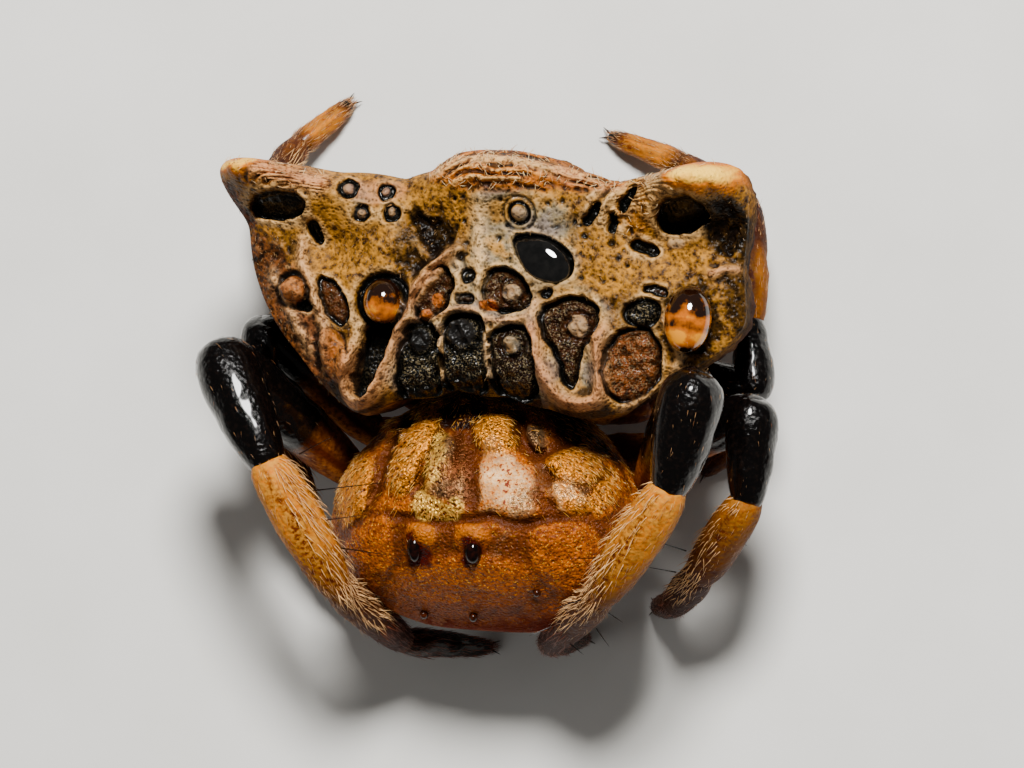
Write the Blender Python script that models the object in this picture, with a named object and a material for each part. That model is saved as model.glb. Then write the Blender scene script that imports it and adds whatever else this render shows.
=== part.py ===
# Bird-dropping spider crouching on a level surface, life size.
# The animal faces -Y, its left side is +X, and every foot stands at Z = 0.
# All sizes are in millimetres; finish() turns each mesh into metres.

import bmesh
import bpy
import numpy as np
from mathutils import Matrix, Vector

MILLIMETRE = 0.001
GAP = 0.1
FLOOR = 0.0

# Line of sight over which the stance is laid out: how far it leans per mm of height.
SIGHT_TO_SIDE = 0.14
SIGHT_TO_FRONT = 0.105
SIGHT_LEVEL = 4.6
SIGHT_MIDLINE = 0.08

# Abdomen, before it is leaned: a shield that widens to two horned corners at the rear.
# Its rim goes round from the middle of the front, past the left side.
ABDOMEN_CENTRE = (0.0, 1.8)
ABDOMEN_FRONT_HEIGHT = 4.35
ABDOMEN_SLOPE = 0.14
ABDOMEN_BELLY = (0.0, 2.05, 0.75)
ABDOMEN_BELLY_SHRINK = 0.62
ABDOMEN_LEAN = -5.0
ABDOMEN_TURN = -2.0
ABDOMEN_RINGS = 34
ABDOMEN_SPOKES = 88
ABDOMEN_TOP_SHARE = 0.68
RIM_ROUNDING = 0.42
RIM_OUTLINE = (
    (0.15, 0.1), (0.85, -0.1), (1.4, -0.2), (2.0, -0.05), (2.5, 0.35), (3.0, 0.6), (3.4, 0.85),
    (3.75, 1.3), (3.7, 2.1), (3.75, 2.65), (3.7, 3.2), (3.4, 3.5), (2.5, 3.45), (1.75, 3.35),
    (1.25, 3.55), (0.5, 3.8), (-0.1, 3.85), (-0.7, 3.8), (-1.05, 3.5), (-1.5, 3.35), (-2.5, 3.45),
    (-3.5, 3.45), (-3.85, 3.2), (-3.85, 2.65), (-3.75, 2.0), (-3.55, 1.4), (-3.0, 0.6), (-2.4, 0.0),
    (-2.1, -0.2), (-1.45, 0.05), (-0.6, 0.2),
)

# Relief of the shield's upper face, in its own plan. Sunk cells: across, along Y,
# half length, half width, turn, depth.
CELLS = (
    (0.8, 2.05, 0.46, 0.34, -20, 0.22), (-0.75, 2.2, 0.5, 0.42, 20, 0.2),
    (0.2, 1.62, 0.38, 0.3, -30, 0.16), (-0.72, 1.58, 0.34, 0.26, 60, 0.14),
    (1.25, 1.05, 0.45, 0.4, 30, 0.16), (1.3, 0.35, 0.16, 0.45, 0, 0.15),
    (0.3, 0.75, 0.3, 0.48, 0, 0.16), (-0.45, 0.85, 0.32, 0.34, 0, 0.16),
    (-1.05, 0.65, 0.3, 0.45, 10, 0.16), (2.1, 0.55, 0.36, 0.42, 0, 0.14),
    (-1.9, 0.75, 0.16, 0.75, 20, 0.25), (2.45, 1.35, 0.3, 0.28, 0, 0.12),
    (0.45, 2.78, 0.25, 0.15, 0, 0.08), (1.6, 2.8, 0.12, 0.24, -20, 0.12),
    (2.1, 2.95, 0.12, 0.3, -30, 0.12), (-2.15, 3.1, 0.2, 0.2, 0, 0.1),
    (-1.6, 3.1, 0.16, 0.16, 0, 0.1), (-1.9, 2.8, 0.16, 0.16, 0, 0.1),
    (-1.5, 2.78, 0.16, 0.16, 0, 0.1), (-2.9, 1.6, 0.3, 0.36, 0, 0.14),
)
# Rounded beads: across, along Y, radius, height.
BEADS = (
    (3.0, 1.15, 0.42, 0.36), (-1.65, 1.4, 0.32, 0.26), (-2.4, 0.6, 0.3, 0.16),
    (0.8, 2.05, 0.3, 0.16), (2.1, 0.5, 0.28, 0.14), (-2.95, 1.55, 0.22, 0.14),
    (1.3, 1.08, 0.2, 0.1), (0.22, 1.6, 0.16, 0.08),
)
# Raised ridges: start, end, half width, height.
RIDGES = (
    ((0.0, 0.35), (0.0, 1.3), 0.1, 0.1), ((0.72, 0.3), (0.75, 1.0), 0.16, 0.12),
    ((0.85, 0.1), (1.4, -0.1), 0.2, 0.14), ((1.4, -0.1), (1.75, 0.6), 0.16, 0.12),
    ((-1.25, 1.5), (-1.4, 0.5), 0.2, 0.14), ((-1.4, 0.5), (-2.05, 0.0), 0.2, 0.14),
    ((-2.1, 0.0), (-2.2, 0.8), 0.12, 0.1), ((0.5, 1.3), (1.2, 2.6), 0.14, 0.08),
    ((-1.2, 3.6), (1.2, 3.45), 0.12, 0.1), ((-1.2, 3.25), (1.4, 3.15), 0.1, 0.08),
    ((-3.0, 3.35), (-2.0, 3.3), 0.2, 0.14), ((3.0, 3.35), (2.0, 3.3), 0.2, 0.14),
)

# Horns at the rear corners: root inside the shield, blunt tip raised outwards.
HORNS = {
    "l": ((2.75, 2.75, 4.4), (3.5, 3.2, 5.15)),
    "r": ((-2.85, 2.8, 4.4), (-3.8, 3.3, 5.0)),
}
HORN_ROOT_RADIUS = 0.88
HORN_TIP_RADIUS = 0.44
HORN_SIDES = 16
HORN_RINGS = 12

# Prosoma, before it is leaned: stations from rear to front as
# distance along Y, half width, top height, underside height.
PROSOMA_STATIONS = (
    (0.85, 0.3, 2.5, 1.95),
    (0.55, 0.8, 2.85, 1.5),
    (0.1, 1.4, 3.3, 1.15),
    (-0.5, 2.0, 3.75, 0.95),
    (-1.2, 2.4, 4.0, 0.85),
    (-1.9, 2.52, 4.02, 0.9),
    (-2.5, 2.42, 3.7, 1.1),
    (-3.0, 2.05, 3.15, 1.45),
    (-3.3, 1.4, 2.7, 1.85),
)
PROSOMA_CENTRE_X = -0.3
PROSOMA_TOP = 4.0
PROSOMA_LEAN = -8.0
PROSOMA_TURN = -5.0
PROSOMA_PIVOT = (0.0, -1.3, 2.3)
PROSOMA_RINGS = 24
PROSOMA_SPOKES = 36
# Lobes and grooves of its upper face: across, along Y, their sizes, height.
PROSOMA_LUMPS = (
    (-1.03, -0.53, 0.35, 0.42, 0.16), (-0.62, -0.98, 0.28, 0.5, 0.16),
    (0.32, -1.2, 0.45, 0.45, 0.14), (0.24, -0.46, 0.3, 0.33, 0.14),
    (0.72, -0.76, 0.13, 0.35, -0.16), (1.37, -0.98, 0.42, 0.33, 0.16),
    (-0.36, -0.38, 0.12, 0.4, -0.12), (-0.1, -1.77, 1.1, 0.18, -0.1),
    (-0.1, -2.55, 0.8, 0.4, 0.1),
)

PEDICEL_RADIUS = 0.34
PEDICEL_FROM = (-0.1, 0.3, 2.2)
PEDICEL_TO = (0.05, 1.6, 2.25)

# Eyes on the prosoma: name, across from the middle of the face, along Y, radius.
EYES = (
    ("ame", 0.4, -3.12, 0.1),
    ("ale", 1.42, -2.72, 0.09),
    ("pme", 0.46, -2.2, 0.13),
    ("ple", 1.62, -2.3, 0.09),
)
FACE_MIDDLE = -0.24
EYE_SUNK = 0.35
EYE_MOUND = 1.9

# Mouth parts, before they are leaned with the prosoma.
CHELICERA_TOP = (0.45, -2.7, 1.9)
CHELICERA_END = (0.42, -2.72, 0.85)
CHELICERA_RADIUS = 0.36
FANG_END = (0.16, -2.55, 0.62)
FANG_RADIUS = 0.11
PALP_JOINTS = ((1.1, -2.3, 1.5), (1.32, -2.68, 1.25), (1.25, -2.78, 0.75), (1.05, -2.7, 0.42))
PALP_RADII = (0.2, 0.19, 0.16)

SPINNERETS_AT = (0.0, 3.15, 1.25)
SPINNERET_LENGTH = 0.75
SPINNERET_RADIUS = 0.22

# Coxa of each pair, before the prosoma is leaned: from inside it to the trochanter.
COXAE = {
    "1": ((1.2, -1.12, 1.88), (2.35, -1.02, 1.9)),
    "2": ((1.2, -0.4, 1.36), (2.25, -0.34, 1.28)),
    "3": ((1.0, 0.27, 1.46), (1.88, 0.38, 1.05)),
    "4": ((0.52, 0.7, 1.86), (1.26, 1.1, 1.45)),
}
# Ends of femur, patella, tibia, metatarsus and tarsus, each as seen along the line
# of sight: to the right, up the view, height over the ground.
STANCE = {
    "leg_r1": ((-4.08, 0.7, 3.5), (-3.36, -0.95, 3.85), (-2.3, -2.85, 3.1),
               (-1.3, -3.72, 1.2), (0.0, -3.85, 0.13)),
    "leg_r2": ((-3.45, 1.1, 2.2), (-3.45, -0.15, 1.55), (-2.85, -1.75, 1.2),
               (-2.2, -2.95, 0.6), (-1.65, -3.5, 0.13)),
    "leg_r3": ((-2.35, 0.9, 0.85), (-2.65, 1.3, 0.75), (-2.95, 1.75, 0.55),
               (-2.95, 2.15, 0.35), (-2.65, 2.5, 0.13)),
    "leg_r4": ((-2.6, 1.6, 1.6), (-3.2, 2.3, 1.6), (-3.45, 3.4, 1.25),
               (-2.97, 4.02, 0.5), (-2.2, 4.65, 0.13)),
    "leg_l1": ((3.12, 0.12, 4.9), (2.76, -1.4, 4.75), (1.72, -3.0, 3.7),
               (0.95, -3.75, 1.7), (1.5, -3.72, 0.13)),
    "leg_l2": ((4.05, -0.25, 3.3), (3.98, -1.6, 3.2), (3.25, -2.75, 2.1),
               (2.9, -3.2, 1.0), (2.65, -3.25, 0.13)),
    "leg_l3": ((3.15, 0.2, 0.85), (3.55, 0.0, 0.8), (3.85, -0.45, 0.6),
               (3.75, -0.85, 0.38), (3.4, -1.15, 0.13)),
    "leg_l4": ((4.1, 0.1, 2.1), (4.07, 1.15, 1.9), (4.05, 2.95, 1.4),
               (3.05, 3.62, 0.6), (1.95, 4.08, 0.13)),
}
# Radii of coxa, femur, patella, tibia, metatarsus and tarsus for each pair.
LEG_RADII = {
    "1": (0.28, 0.52, 0.54, 0.36, 0.31, 0.26),
    "2": (0.27, 0.43, 0.43, 0.33, 0.29, 0.26),
    "3": (0.25, 0.3, 0.28, 0.27, 0.25, 0.25),
    "4": (0.25, 0.35, 0.34, 0.28, 0.26, 0.25),
}
SEGMENT_SIDES = 10
SEGMENT_RINGS = 7
SEGMENT_OVERRUN = 0.55
TIP_SHARE = 0.55
SMALL_SIDES = 8
SMALL_RINGS = 6

# Middle of the space that the finished animal takes up, as laid out here.
MIDDLE = (-0.23, 0.78, 0.0)

COLOURS = {
    "abdomen": ((0.42, 0.3, 0.16), 0.45),
    "horn": ((0.75, 0.5, 0.24), 0.4),
    "prosoma": ((0.36, 0.16, 0.05), 0.4),
    "leg": ((0.4, 0.16, 0.05), 0.4),
    "eye": ((0.01, 0.01, 0.01), 0.08),
    "chelicera": ((0.22, 0.07, 0.03), 0.35),
    "pedipalp": ((0.3, 0.13, 0.05), 0.45),
    "spinnerets": ((0.25, 0.14, 0.07), 0.5),
}


def clear_scene():
    for item in list(bpy.data.objects):
        bpy.data.objects.remove(item, do_unlink=True)


def from_sight(point):
    """World place of a point given to the right, up the view and over the ground."""
    right, up, height = point
    rise = height - SIGHT_LEVEL
    return Vector((right - SIGHT_MIDLINE + SIGHT_TO_SIDE * rise, up - SIGHT_TO_FRONT * rise, height))


def leaned(pivot, lean, turn, shift_x=0.0):
    """Matrix that leans a body about its long axis and turns it about the vertical."""
    centre = Matrix.Translation(pivot)
    turned = Matrix.Rotation(np.radians(turn), 4, "Z") @ Matrix.Rotation(np.radians(lean), 4, "Y")
    return Matrix.Translation((shift_x, 0.0, 0.0)) @ centre @ turned @ centre.inverted()


ABDOMEN_PLACE = leaned((0.0, 1.8, 4.4), ABDOMEN_LEAN, ABDOMEN_TURN)
PROSOMA_PLACE = leaned(PROSOMA_PIVOT, PROSOMA_LEAN, PROSOMA_TURN, PROSOMA_CENTRE_X)


def mesh_object(name, shape, collection):
    mesh = bpy.data.meshes.new(name)
    shape.to_mesh(mesh)
    shape.free()
    item = bpy.data.objects.new(name, mesh)
    collection.objects.link(item)
    return item


def coordinates(item):
    flat = np.empty(len(item.data.vertices) * 3)
    item.data.vertices.foreach_get("co", flat)
    return flat.reshape(-1, 3)


def set_coordinates(item, points):
    item.data.vertices.foreach_set("co", np.asarray(points, dtype=np.float32).ravel())
    item.data.update()


def unit_sphere(name, spokes, rings, collection):
    shape = bmesh.new()
    bmesh.ops.create_uvsphere(shape, u_segments=spokes, v_segments=rings, radius=1.0)
    return mesh_object(name, shape, collection)


def hill(x, y, at_x, at_y, size_x, size_y, height):
    """Smooth mound: height times e to minus the squared distance in sizes."""
    return height * np.exp(-(((x - at_x) / size_x) ** 2 + ((y - at_y) / size_y) ** 2))


def outline_radius(angle):
    """Distance of the shield's rim from its centre, by the angle round it."""
    offset = np.array(RIM_OUTLINE) - ABDOMEN_CENTRE
    at = np.arctan2(offset[:, 1], offset[:, 0])
    reach = np.hypot(offset[:, 0], offset[:, 1])
    fine = np.linspace(-np.pi, np.pi, 720, endpoint=False)
    sampled = np.interp(fine, *zip(*sorted(zip(at, reach))), period=2 * np.pi)
    window = np.hanning(25)
    side = len(window) // 2
    padded = np.concatenate([sampled[-side:], sampled, sampled[:side]])
    smooth = np.convolve(padded, window / window.sum(), mode="valid")
    return np.interp(angle, fine, smooth, period=2 * np.pi)


def shield_height(x, y):
    """Height of the shield's upper face over its plan."""
    across = np.abs(x)
    height = ABDOMEN_FRONT_HEIGHT + ABDOMEN_SLOPE * y
    height = height + hill(x, y, 0.0, 3.35, 1.15, 0.42, 0.42)
    height = height + hill(across, y, 2.9, 3.15, 0.9, 0.45, 0.35)
    height = height + hill(across, y, 1.75, -0.05, 0.5, 0.45, 0.18)
    height = height - hill(across, y, 2.6, 2.35, 0.5, 0.4, 0.28)
    return height + hill(x, y, 0.0, 1.4, 1.3, 1.2, 0.12)


def turned_about(x, y, at, angle):
    """Offsets from a point, along and across a direction turned by angle."""
    c, s = np.cos(np.radians(angle)), np.sin(np.radians(angle))
    dx, dy = x - at[0], y - at[1]
    return dx * c + dy * s, dy * c - dx * s


def plateau(distance, edge):
    """One inside a unit distance, falling to nothing over the edge width."""
    share = np.clip((1.0 + edge - distance) / edge, 0.0, 1.0)
    return share * share * (3.0 - 2.0 * share)


def shield_relief(x, y):
    """Sunk cells between raised ridges, with the beads and the lens that stand in them."""
    relief = np.zeros_like(x)
    for at_x, at_y, half_long, half_wide, angle, depth in CELLS:
        along, across = turned_about(x, y, (at_x, at_y), angle)
        distance = np.sqrt((along / half_long) ** 2 + (across / half_wide) ** 2)
        relief = relief - depth * plateau(distance, 0.35)
    for at_x, at_y, radius, height in BEADS:
        distance = np.hypot(x - at_x, y - at_y) / radius
        relief = relief + height * np.sqrt(np.clip(1.0 - distance ** 2, 0.0, 1.0))
    for start, end, half_wide, height in RIDGES:
        length = np.hypot(end[0] - start[0], end[1] - start[1])
        along = ((x - start[0]) * (end[0] - start[0]) + (y - start[1]) * (end[1] - start[1])) / length
        across = ((y - start[1]) * (end[0] - start[0]) - (x - start[0]) * (end[1] - start[1])) / length
        past = np.maximum(np.maximum(-along, along - length), 0.0)
        relief = relief + height * np.exp(-(np.hypot(across, past) / half_wide) ** 2)
    return relief


def abdomen_points(ball, with_relief):
    """A ball's points moved onto the abdomen: upper face, rounded rim, tapering belly."""
    angle = np.arctan2(ball[:, 1], ball[:, 0])
    depth = np.arccos(np.clip(ball[:, 2], -1.0, 1.0)) / np.pi
    reach = outline_radius(angle)
    top = np.clip(depth / ABDOMEN_TOP_SHARE, 0.0, 1.0)
    under = np.clip((depth - ABDOMEN_TOP_SHARE) / (1.0 - ABDOMEN_TOP_SHARE), 0.0, 1.0)
    spread = np.where(under > 0.0, np.cos(under * np.pi / 2) ** ABDOMEN_BELLY_SHRINK, top)
    fall = np.sin(under * np.pi / 2)
    centre_x = ABDOMEN_CENTRE[0] + (ABDOMEN_BELLY[0] - ABDOMEN_CENTRE[0]) * fall
    centre_y = ABDOMEN_CENTRE[1] + (ABDOMEN_BELLY[1] - ABDOMEN_CENTRE[1]) * fall
    x = centre_x + np.cos(angle) * reach * spread
    y = centre_y + np.sin(angle) * reach * spread
    rim_x = ABDOMEN_CENTRE[0] + np.cos(angle) * reach
    rim_y = ABDOMEN_CENTRE[1] + np.sin(angle) * reach
    rim = shield_height(rim_x, rim_y) - RIM_ROUNDING
    face = shield_height(x, y) - RIM_ROUNDING * top ** 6
    if with_relief:
        face = face + shield_relief(x, y) * np.clip((1.0 - top) * 8.0, 0.0, 1.0)
    z = np.where(under > 0.0, rim + (ABDOMEN_BELLY[2] - rim) * fall, face)
    return np.column_stack([x, y, z])


def build_abdomen(name, collection, offset=0.0, with_relief=True):
    item = unit_sphere(name, ABDOMEN_SPOKES, ABDOMEN_RINGS, collection)
    set_coordinates(item, abdomen_points(coordinates(item), with_relief))
    swell(item, offset)
    item.data.transform(ABDOMEN_PLACE)
    return item


def prosoma_points(ball):
    """A ball's points moved onto sections that follow the stations from rear to front."""
    stations = np.array(PROSOMA_STATIONS)
    along = np.arccos(np.clip(ball[:, 2], -1.0, 1.0)) / np.pi
    angle = np.arctan2(ball[:, 1], ball[:, 0])
    steps = np.linspace(0.0, 1.0, len(stations))
    shares = 0.5 - 0.5 * np.cos(np.pi * along)
    y, half, top, under = (np.interp(shares, steps, stations[:, k]) for k in range(4))
    ends = np.sin(np.pi * along) ** 0.35
    middle = (top + under) / 2
    x = half * np.cos(angle) * ends
    z = middle + (top - under) / 2 * np.sin(angle) * ends
    is_upper = np.clip(np.sin(angle) * 2.0, 0.0, 1.0)
    for at_x, at_y, size_x, size_y, height in PROSOMA_LUMPS:
        z = z + hill(x, y, at_x, at_y, size_x, size_y, height) * is_upper
    return np.column_stack([x, y, z])


def smoothed(item, rounds):
    shape = bmesh.new()
    shape.from_mesh(item.data)
    for _ in range(rounds):
        bmesh.ops.smooth_vert(shape, verts=shape.verts, factor=0.5,
                              use_axis_x=True, use_axis_y=True, use_axis_z=True)
    shape.to_mesh(item.data)
    shape.free()


def swell(item, offset):
    """Moves every point outwards along its normal."""
    if offset:
        normals = np.array([vertex.normal for vertex in item.data.vertices])
        set_coordinates(item, coordinates(item) + normals * offset)


def faces_outwards(item):
    shape = bmesh.new()
    shape.from_mesh(item.data)
    bmesh.ops.recalc_face_normals(shape, faces=shape.faces)
    shape.to_mesh(item.data)
    shape.free()


def build_prosoma(name, collection):
    item = unit_sphere(name, PROSOMA_SPOKES, PROSOMA_RINGS, collection)
    set_coordinates(item, prosoma_points(coordinates(item)))
    faces_outwards(item)
    smoothed(item, 2)
    item.data.transform(PROSOMA_PLACE)
    return item


def segment(name, start, end, start_radius, end_radius, collection, fullness=3.0,
            sides=SEGMENT_SIDES, rings=SEGMENT_RINGS):
    """A tapered, round-ended length from start to end, a little past both."""
    start = Vector(start)
    end = Vector(end)
    item = unit_sphere(name, sides, rings, collection)
    ball = coordinates(item)
    share = (ball[:, 2] + 1.0) / 2
    radius = start_radius + (end_radius - start_radius) * share
    round_off = (1.0 - np.abs(ball[:, 2]) ** fullness) ** (1.0 / fullness)
    angle = np.arctan2(ball[:, 1], ball[:, 0])
    length = (end - start).length
    reach_back = SEGMENT_OVERRUN * start_radius
    reach_on = SEGMENT_OVERRUN * end_radius
    along = -reach_back + (length + reach_back + reach_on) * share
    set_coordinates(item, np.column_stack([
        radius * round_off * np.cos(angle), radius * round_off * np.sin(angle), along]))
    turn = (end - start).to_track_quat("Z", "Y").to_matrix().to_4x4()
    item.data.transform(Matrix.Translation(start) @ turn)
    return item


def keep_largest(item):
    """Keeps the largest closed surface of a mesh and welds its points."""
    shape = bmesh.new()
    shape.from_mesh(item.data)
    bmesh.ops.remove_doubles(shape, verts=shape.verts, dist=0.0002)
    bmesh.ops.dissolve_degenerate(shape, dist=0.0002, edges=shape.edges)
    left = set(shape.faces)
    islands = []
    while left:
        island = {left.pop()}
        front = list(island)
        while front:
            face = front.pop()
            for edge in face.edges:
                for other in edge.link_faces:
                    if other in left:
                        left.discard(other)
                        island.add(other)
                        front.append(other)
        islands.append(island)
    biggest = max(islands, key=lambda faces: sum(face.calc_area() for face in faces))
    scraps = [face for faces in islands if faces is not biggest for face in faces]
    bmesh.ops.delete(shape, geom=scraps, context="FACES")
    bmesh.ops.triangulate(shape, faces=shape.faces)
    shape.to_mesh(item.data)
    shape.free()


def combine(item, others, operation, solver="EXACT"):
    """One Boolean of an object with a collection of closed meshes, applied."""
    group = bpy.data.collections.new("operands")
    bpy.context.scene.collection.children.link(group)
    for other in others:
        group.objects.link(other)
    modifier = item.modifiers.new("combine", "BOOLEAN")
    modifier.operation = operation
    modifier.operand_type = "COLLECTION"
    modifier.collection = group
    modifier.solver = solver
    graph = bpy.context.evaluated_depsgraph_get()
    result = bpy.data.meshes.new_from_object(item.evaluated_get(graph))
    item.modifiers.remove(modifier)
    bpy.data.collections.remove(group)
    item.data = result
    keep_largest(item)


def discard(items):
    for item in items:
        bpy.data.objects.remove(item, do_unlink=True)


def join_up(pieces):
    """Fuses closed pieces into the first of them."""
    first, rest = pieces[0], pieces[1:]
    combine(first, rest, "UNION")
    discard(rest)
    return first


def cut_clear(item, cutters):
    combine(item, cutters, "DIFFERENCE")


def flatten_foot(item):
    """Cuts a foot level with the ground and closes the cut."""
    shape = bmesh.new()
    shape.from_mesh(item.data)
    geometry = shape.verts[:] + shape.edges[:] + shape.faces[:]
    cut = bmesh.ops.bisect_plane(shape, geom=geometry, plane_co=(0, 0, FLOOR),
                                 plane_no=(0, 0, -1), clear_outer=True)
    rim = [part for part in cut["geom_cut"] if isinstance(part, bmesh.types.BMEdge)]
    bmesh.ops.holes_fill(shape, edges=rim, sides=0)
    bmesh.ops.triangulate(shape, faces=shape.faces)
    shape.to_mesh(item.data)
    shape.free()


def build_leg(name, collection, body_cutters):
    side = 1 if name[-2] == "l" else -1
    joints = [PROSOMA_PLACE @ mirrored(point, side) for point in COXAE[name[-1]]]
    joints += [from_sight(point) for point in STANCE[name]]
    radii = LEG_RADII[name[-1]]
    pieces = []
    for k, radius in enumerate(radii):
        is_last = k == len(radii) - 1
        start_radius = radius if k == 0 else (radii[k - 1] + radius) / 2
        end_radius = radius * TIP_SHARE if is_last else (radius + radii[k + 1]) / 2
        pieces.append(segment(name, joints[k], joints[k + 1], start_radius, end_radius, collection))
    leg = join_up(pieces)
    cut_clear(leg, body_cutters)
    flatten_foot(leg)
    leg.name = name
    return leg


def mirrored(point, side):
    return Vector((point[0] * side, point[1], point[2]))


def surface_under(item, x, y):
    """Point and normal where a vertical line meets an object's upper face."""
    _, place, normal, _ = item.ray_cast(Vector((x, y, 2 * SIGHT_LEVEL)), Vector((0, 0, -1)))
    return place, normal


def add_material(item, kind):
    colour, roughness = COLOURS[kind]
    material = bpy.data.materials.new(item.name)
    material.use_nodes = True
    shader = material.node_tree.nodes["Principled BSDF"]
    shader.inputs["Base Color"].default_value = (*colour, 1.0)
    shader.inputs["Roughness"].default_value = roughness
    item.data.materials.clear()
    item.data.materials.append(material)


def finish(item, kind):
    """Turns a mesh into metres, smooths its shading and gives it its material."""
    item.data.transform(Matrix.Scale(MILLIMETRE, 4))
    item.data.shade_smooth()
    item.data.set_sharp_from_angle(angle=np.radians(45))
    add_material(item, kind)


def build_spider():
    clear_scene()
    spider = bpy.data.collections.new("spider")
    guides = bpy.data.collections.new("guides")
    bpy.context.scene.collection.children.link(spider)
    bpy.context.scene.collection.children.link(guides)

    abdomen = build_abdomen("abdomen", spider)
    abdomen_cutter = build_abdomen("abdomen_guide", guides, GAP, False)

    prosoma = build_prosoma("prosoma", spider)
    pedicel = segment("pedicel", PEDICEL_FROM, PEDICEL_TO, PEDICEL_RADIUS, PEDICEL_RADIUS, guides)
    combine(prosoma, [pedicel], "UNION")
    cut_clear(prosoma, [abdomen_cutter])

    eyes = []
    sockets = []
    for name, across, along, radius in EYES:
        for side_name, side in (("l", 1), ("r", -1)):
            guess = PROSOMA_PLACE @ Vector((FACE_MIDDLE + across * side, along, PROSOMA_TOP))
            place, normal = surface_under(prosoma, guess.x, guess.y)
            eye_name = "eye_" + name + "_" + side_name
            centre = place + normal * radius * EYE_SUNK
            mound = segment(eye_name, place - normal * 0.3, place, radius * EYE_MOUND,
                            radius * EYE_MOUND * 0.8, guides, 2.0, SMALL_SIDES, SMALL_RINGS)
            sockets.append((mound, centre, radius))
            eyes.append((eye_name, centre, radius))
    combine(prosoma, [mound for mound, _, _ in sockets], "UNION")
    holes = []
    for _, centre, radius in sockets:
        hole = unit_sphere("hole", 10, 8, guides)
        hole.data.transform(Matrix.Translation(centre) @ Matrix.Scale(radius + GAP / 2, 4))
        holes.append(hole)
    cut_clear(prosoma, holes)
    discard(holes + [mound for mound, _, _ in sockets] + [pedicel])

    body_cutter = bpy.data.objects.new("prosoma_guide", prosoma.data.copy())
    guides.objects.link(body_cutter)
    plain = build_prosoma("plain", guides)
    body_cutter.data = plain.data.copy()
    swell(body_cutter, GAP)
    discard([plain])

    finished = [(abdomen, "abdomen"), (prosoma, "prosoma")]
    for eye_name, centre, radius in eyes:
        eye = unit_sphere(eye_name, 10, 8, spider)
        eye.data.transform(Matrix.Translation(centre) @ Matrix.Scale(radius, 4))
        finished.append((eye, "eye"))

    for side_name, (root, tip) in HORNS.items():
        horn = segment("horn_" + side_name, ABDOMEN_PLACE @ Vector(root), ABDOMEN_PLACE @ Vector(tip),
                       HORN_ROOT_RADIUS, HORN_TIP_RADIUS,
                       spider, 4.0, HORN_SIDES, HORN_RINGS)
        cut_clear(horn, [abdomen_cutter])
        finished.append((horn, "horn"))

    for side_name, side in (("l", 1), ("r", -1)):
        top = PROSOMA_PLACE @ mirrored(CHELICERA_TOP, side)
        end = PROSOMA_PLACE @ mirrored(CHELICERA_END, side)
        fang_end = PROSOMA_PLACE @ mirrored(FANG_END, side)
        chelicera = join_up([
            segment("chelicera_" + side_name, top, end, CHELICERA_RADIUS, CHELICERA_RADIUS * 0.7,
                    spider, 2.6),
            segment("fang", end, fang_end, FANG_RADIUS * 1.5, FANG_RADIUS * 0.6, spider, 2.2,
                    SMALL_SIDES, SMALL_RINGS),
        ])
        cut_clear(chelicera, [body_cutter])
        finished.append((chelicera, "chelicera"))
        joints = [PROSOMA_PLACE @ mirrored(point, side) for point in PALP_JOINTS]
        palp = join_up([
            segment("pedipalp_" + side_name, joints[k], joints[k + 1], PALP_RADII[k],
                    PALP_RADII[k] * 0.85, spider, 2.6, SMALL_SIDES, SMALL_RINGS)
            for k in range(len(PALP_RADII))
        ])
        cut_clear(palp, [body_cutter])
        finished.append((palp, "pedipalp"))

    for name in STANCE:
        finished.append((build_leg(name, spider, [body_cutter, abdomen_cutter]), "leg"))

    base = Vector(SPINNERETS_AT)
    cones = []
    for across, along in ((0.0, 0.0), (0.2, 0.12), (-0.2, 0.12), (0.16, -0.2), (-0.16, -0.2)):
        start = base + Vector((across, along, 0.0))
        end = start + Vector((across * 0.4, 0.35, -1.0)).normalized() * SPINNERET_LENGTH
        cones.append(segment("spinnerets", start, end, SPINNERET_RADIUS, SPINNERET_RADIUS * 0.45,
                             spider, 2.4, SMALL_SIDES, SMALL_RINGS))
    spinnerets = join_up(cones)
    cut_clear(spinnerets, [abdomen_cutter])
    spinnerets.name = "spinnerets"
    finished.append((spinnerets, "spinnerets"))

    discard(list(guides.objects))
    for item, kind in finished:
        item.data.transform(Matrix.Translation(-Vector(MIDDLE)))
        finish(item, kind)


build_spider()
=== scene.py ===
import bpy
import numpy as np
from mathutils import Matrix, Vector


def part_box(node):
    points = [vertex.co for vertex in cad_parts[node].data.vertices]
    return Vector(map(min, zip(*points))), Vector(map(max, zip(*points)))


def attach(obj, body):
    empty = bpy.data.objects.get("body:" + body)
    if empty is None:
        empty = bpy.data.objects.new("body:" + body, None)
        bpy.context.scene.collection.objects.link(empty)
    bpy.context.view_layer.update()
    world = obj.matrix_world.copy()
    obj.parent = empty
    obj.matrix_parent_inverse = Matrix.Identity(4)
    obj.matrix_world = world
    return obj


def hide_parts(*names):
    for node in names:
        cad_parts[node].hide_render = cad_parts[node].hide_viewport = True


# A bird-dropping spider, dressed over its solids. Shapes are worked out in millimetres
# in the layout of the solids and go into their meshes in metres.

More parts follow.
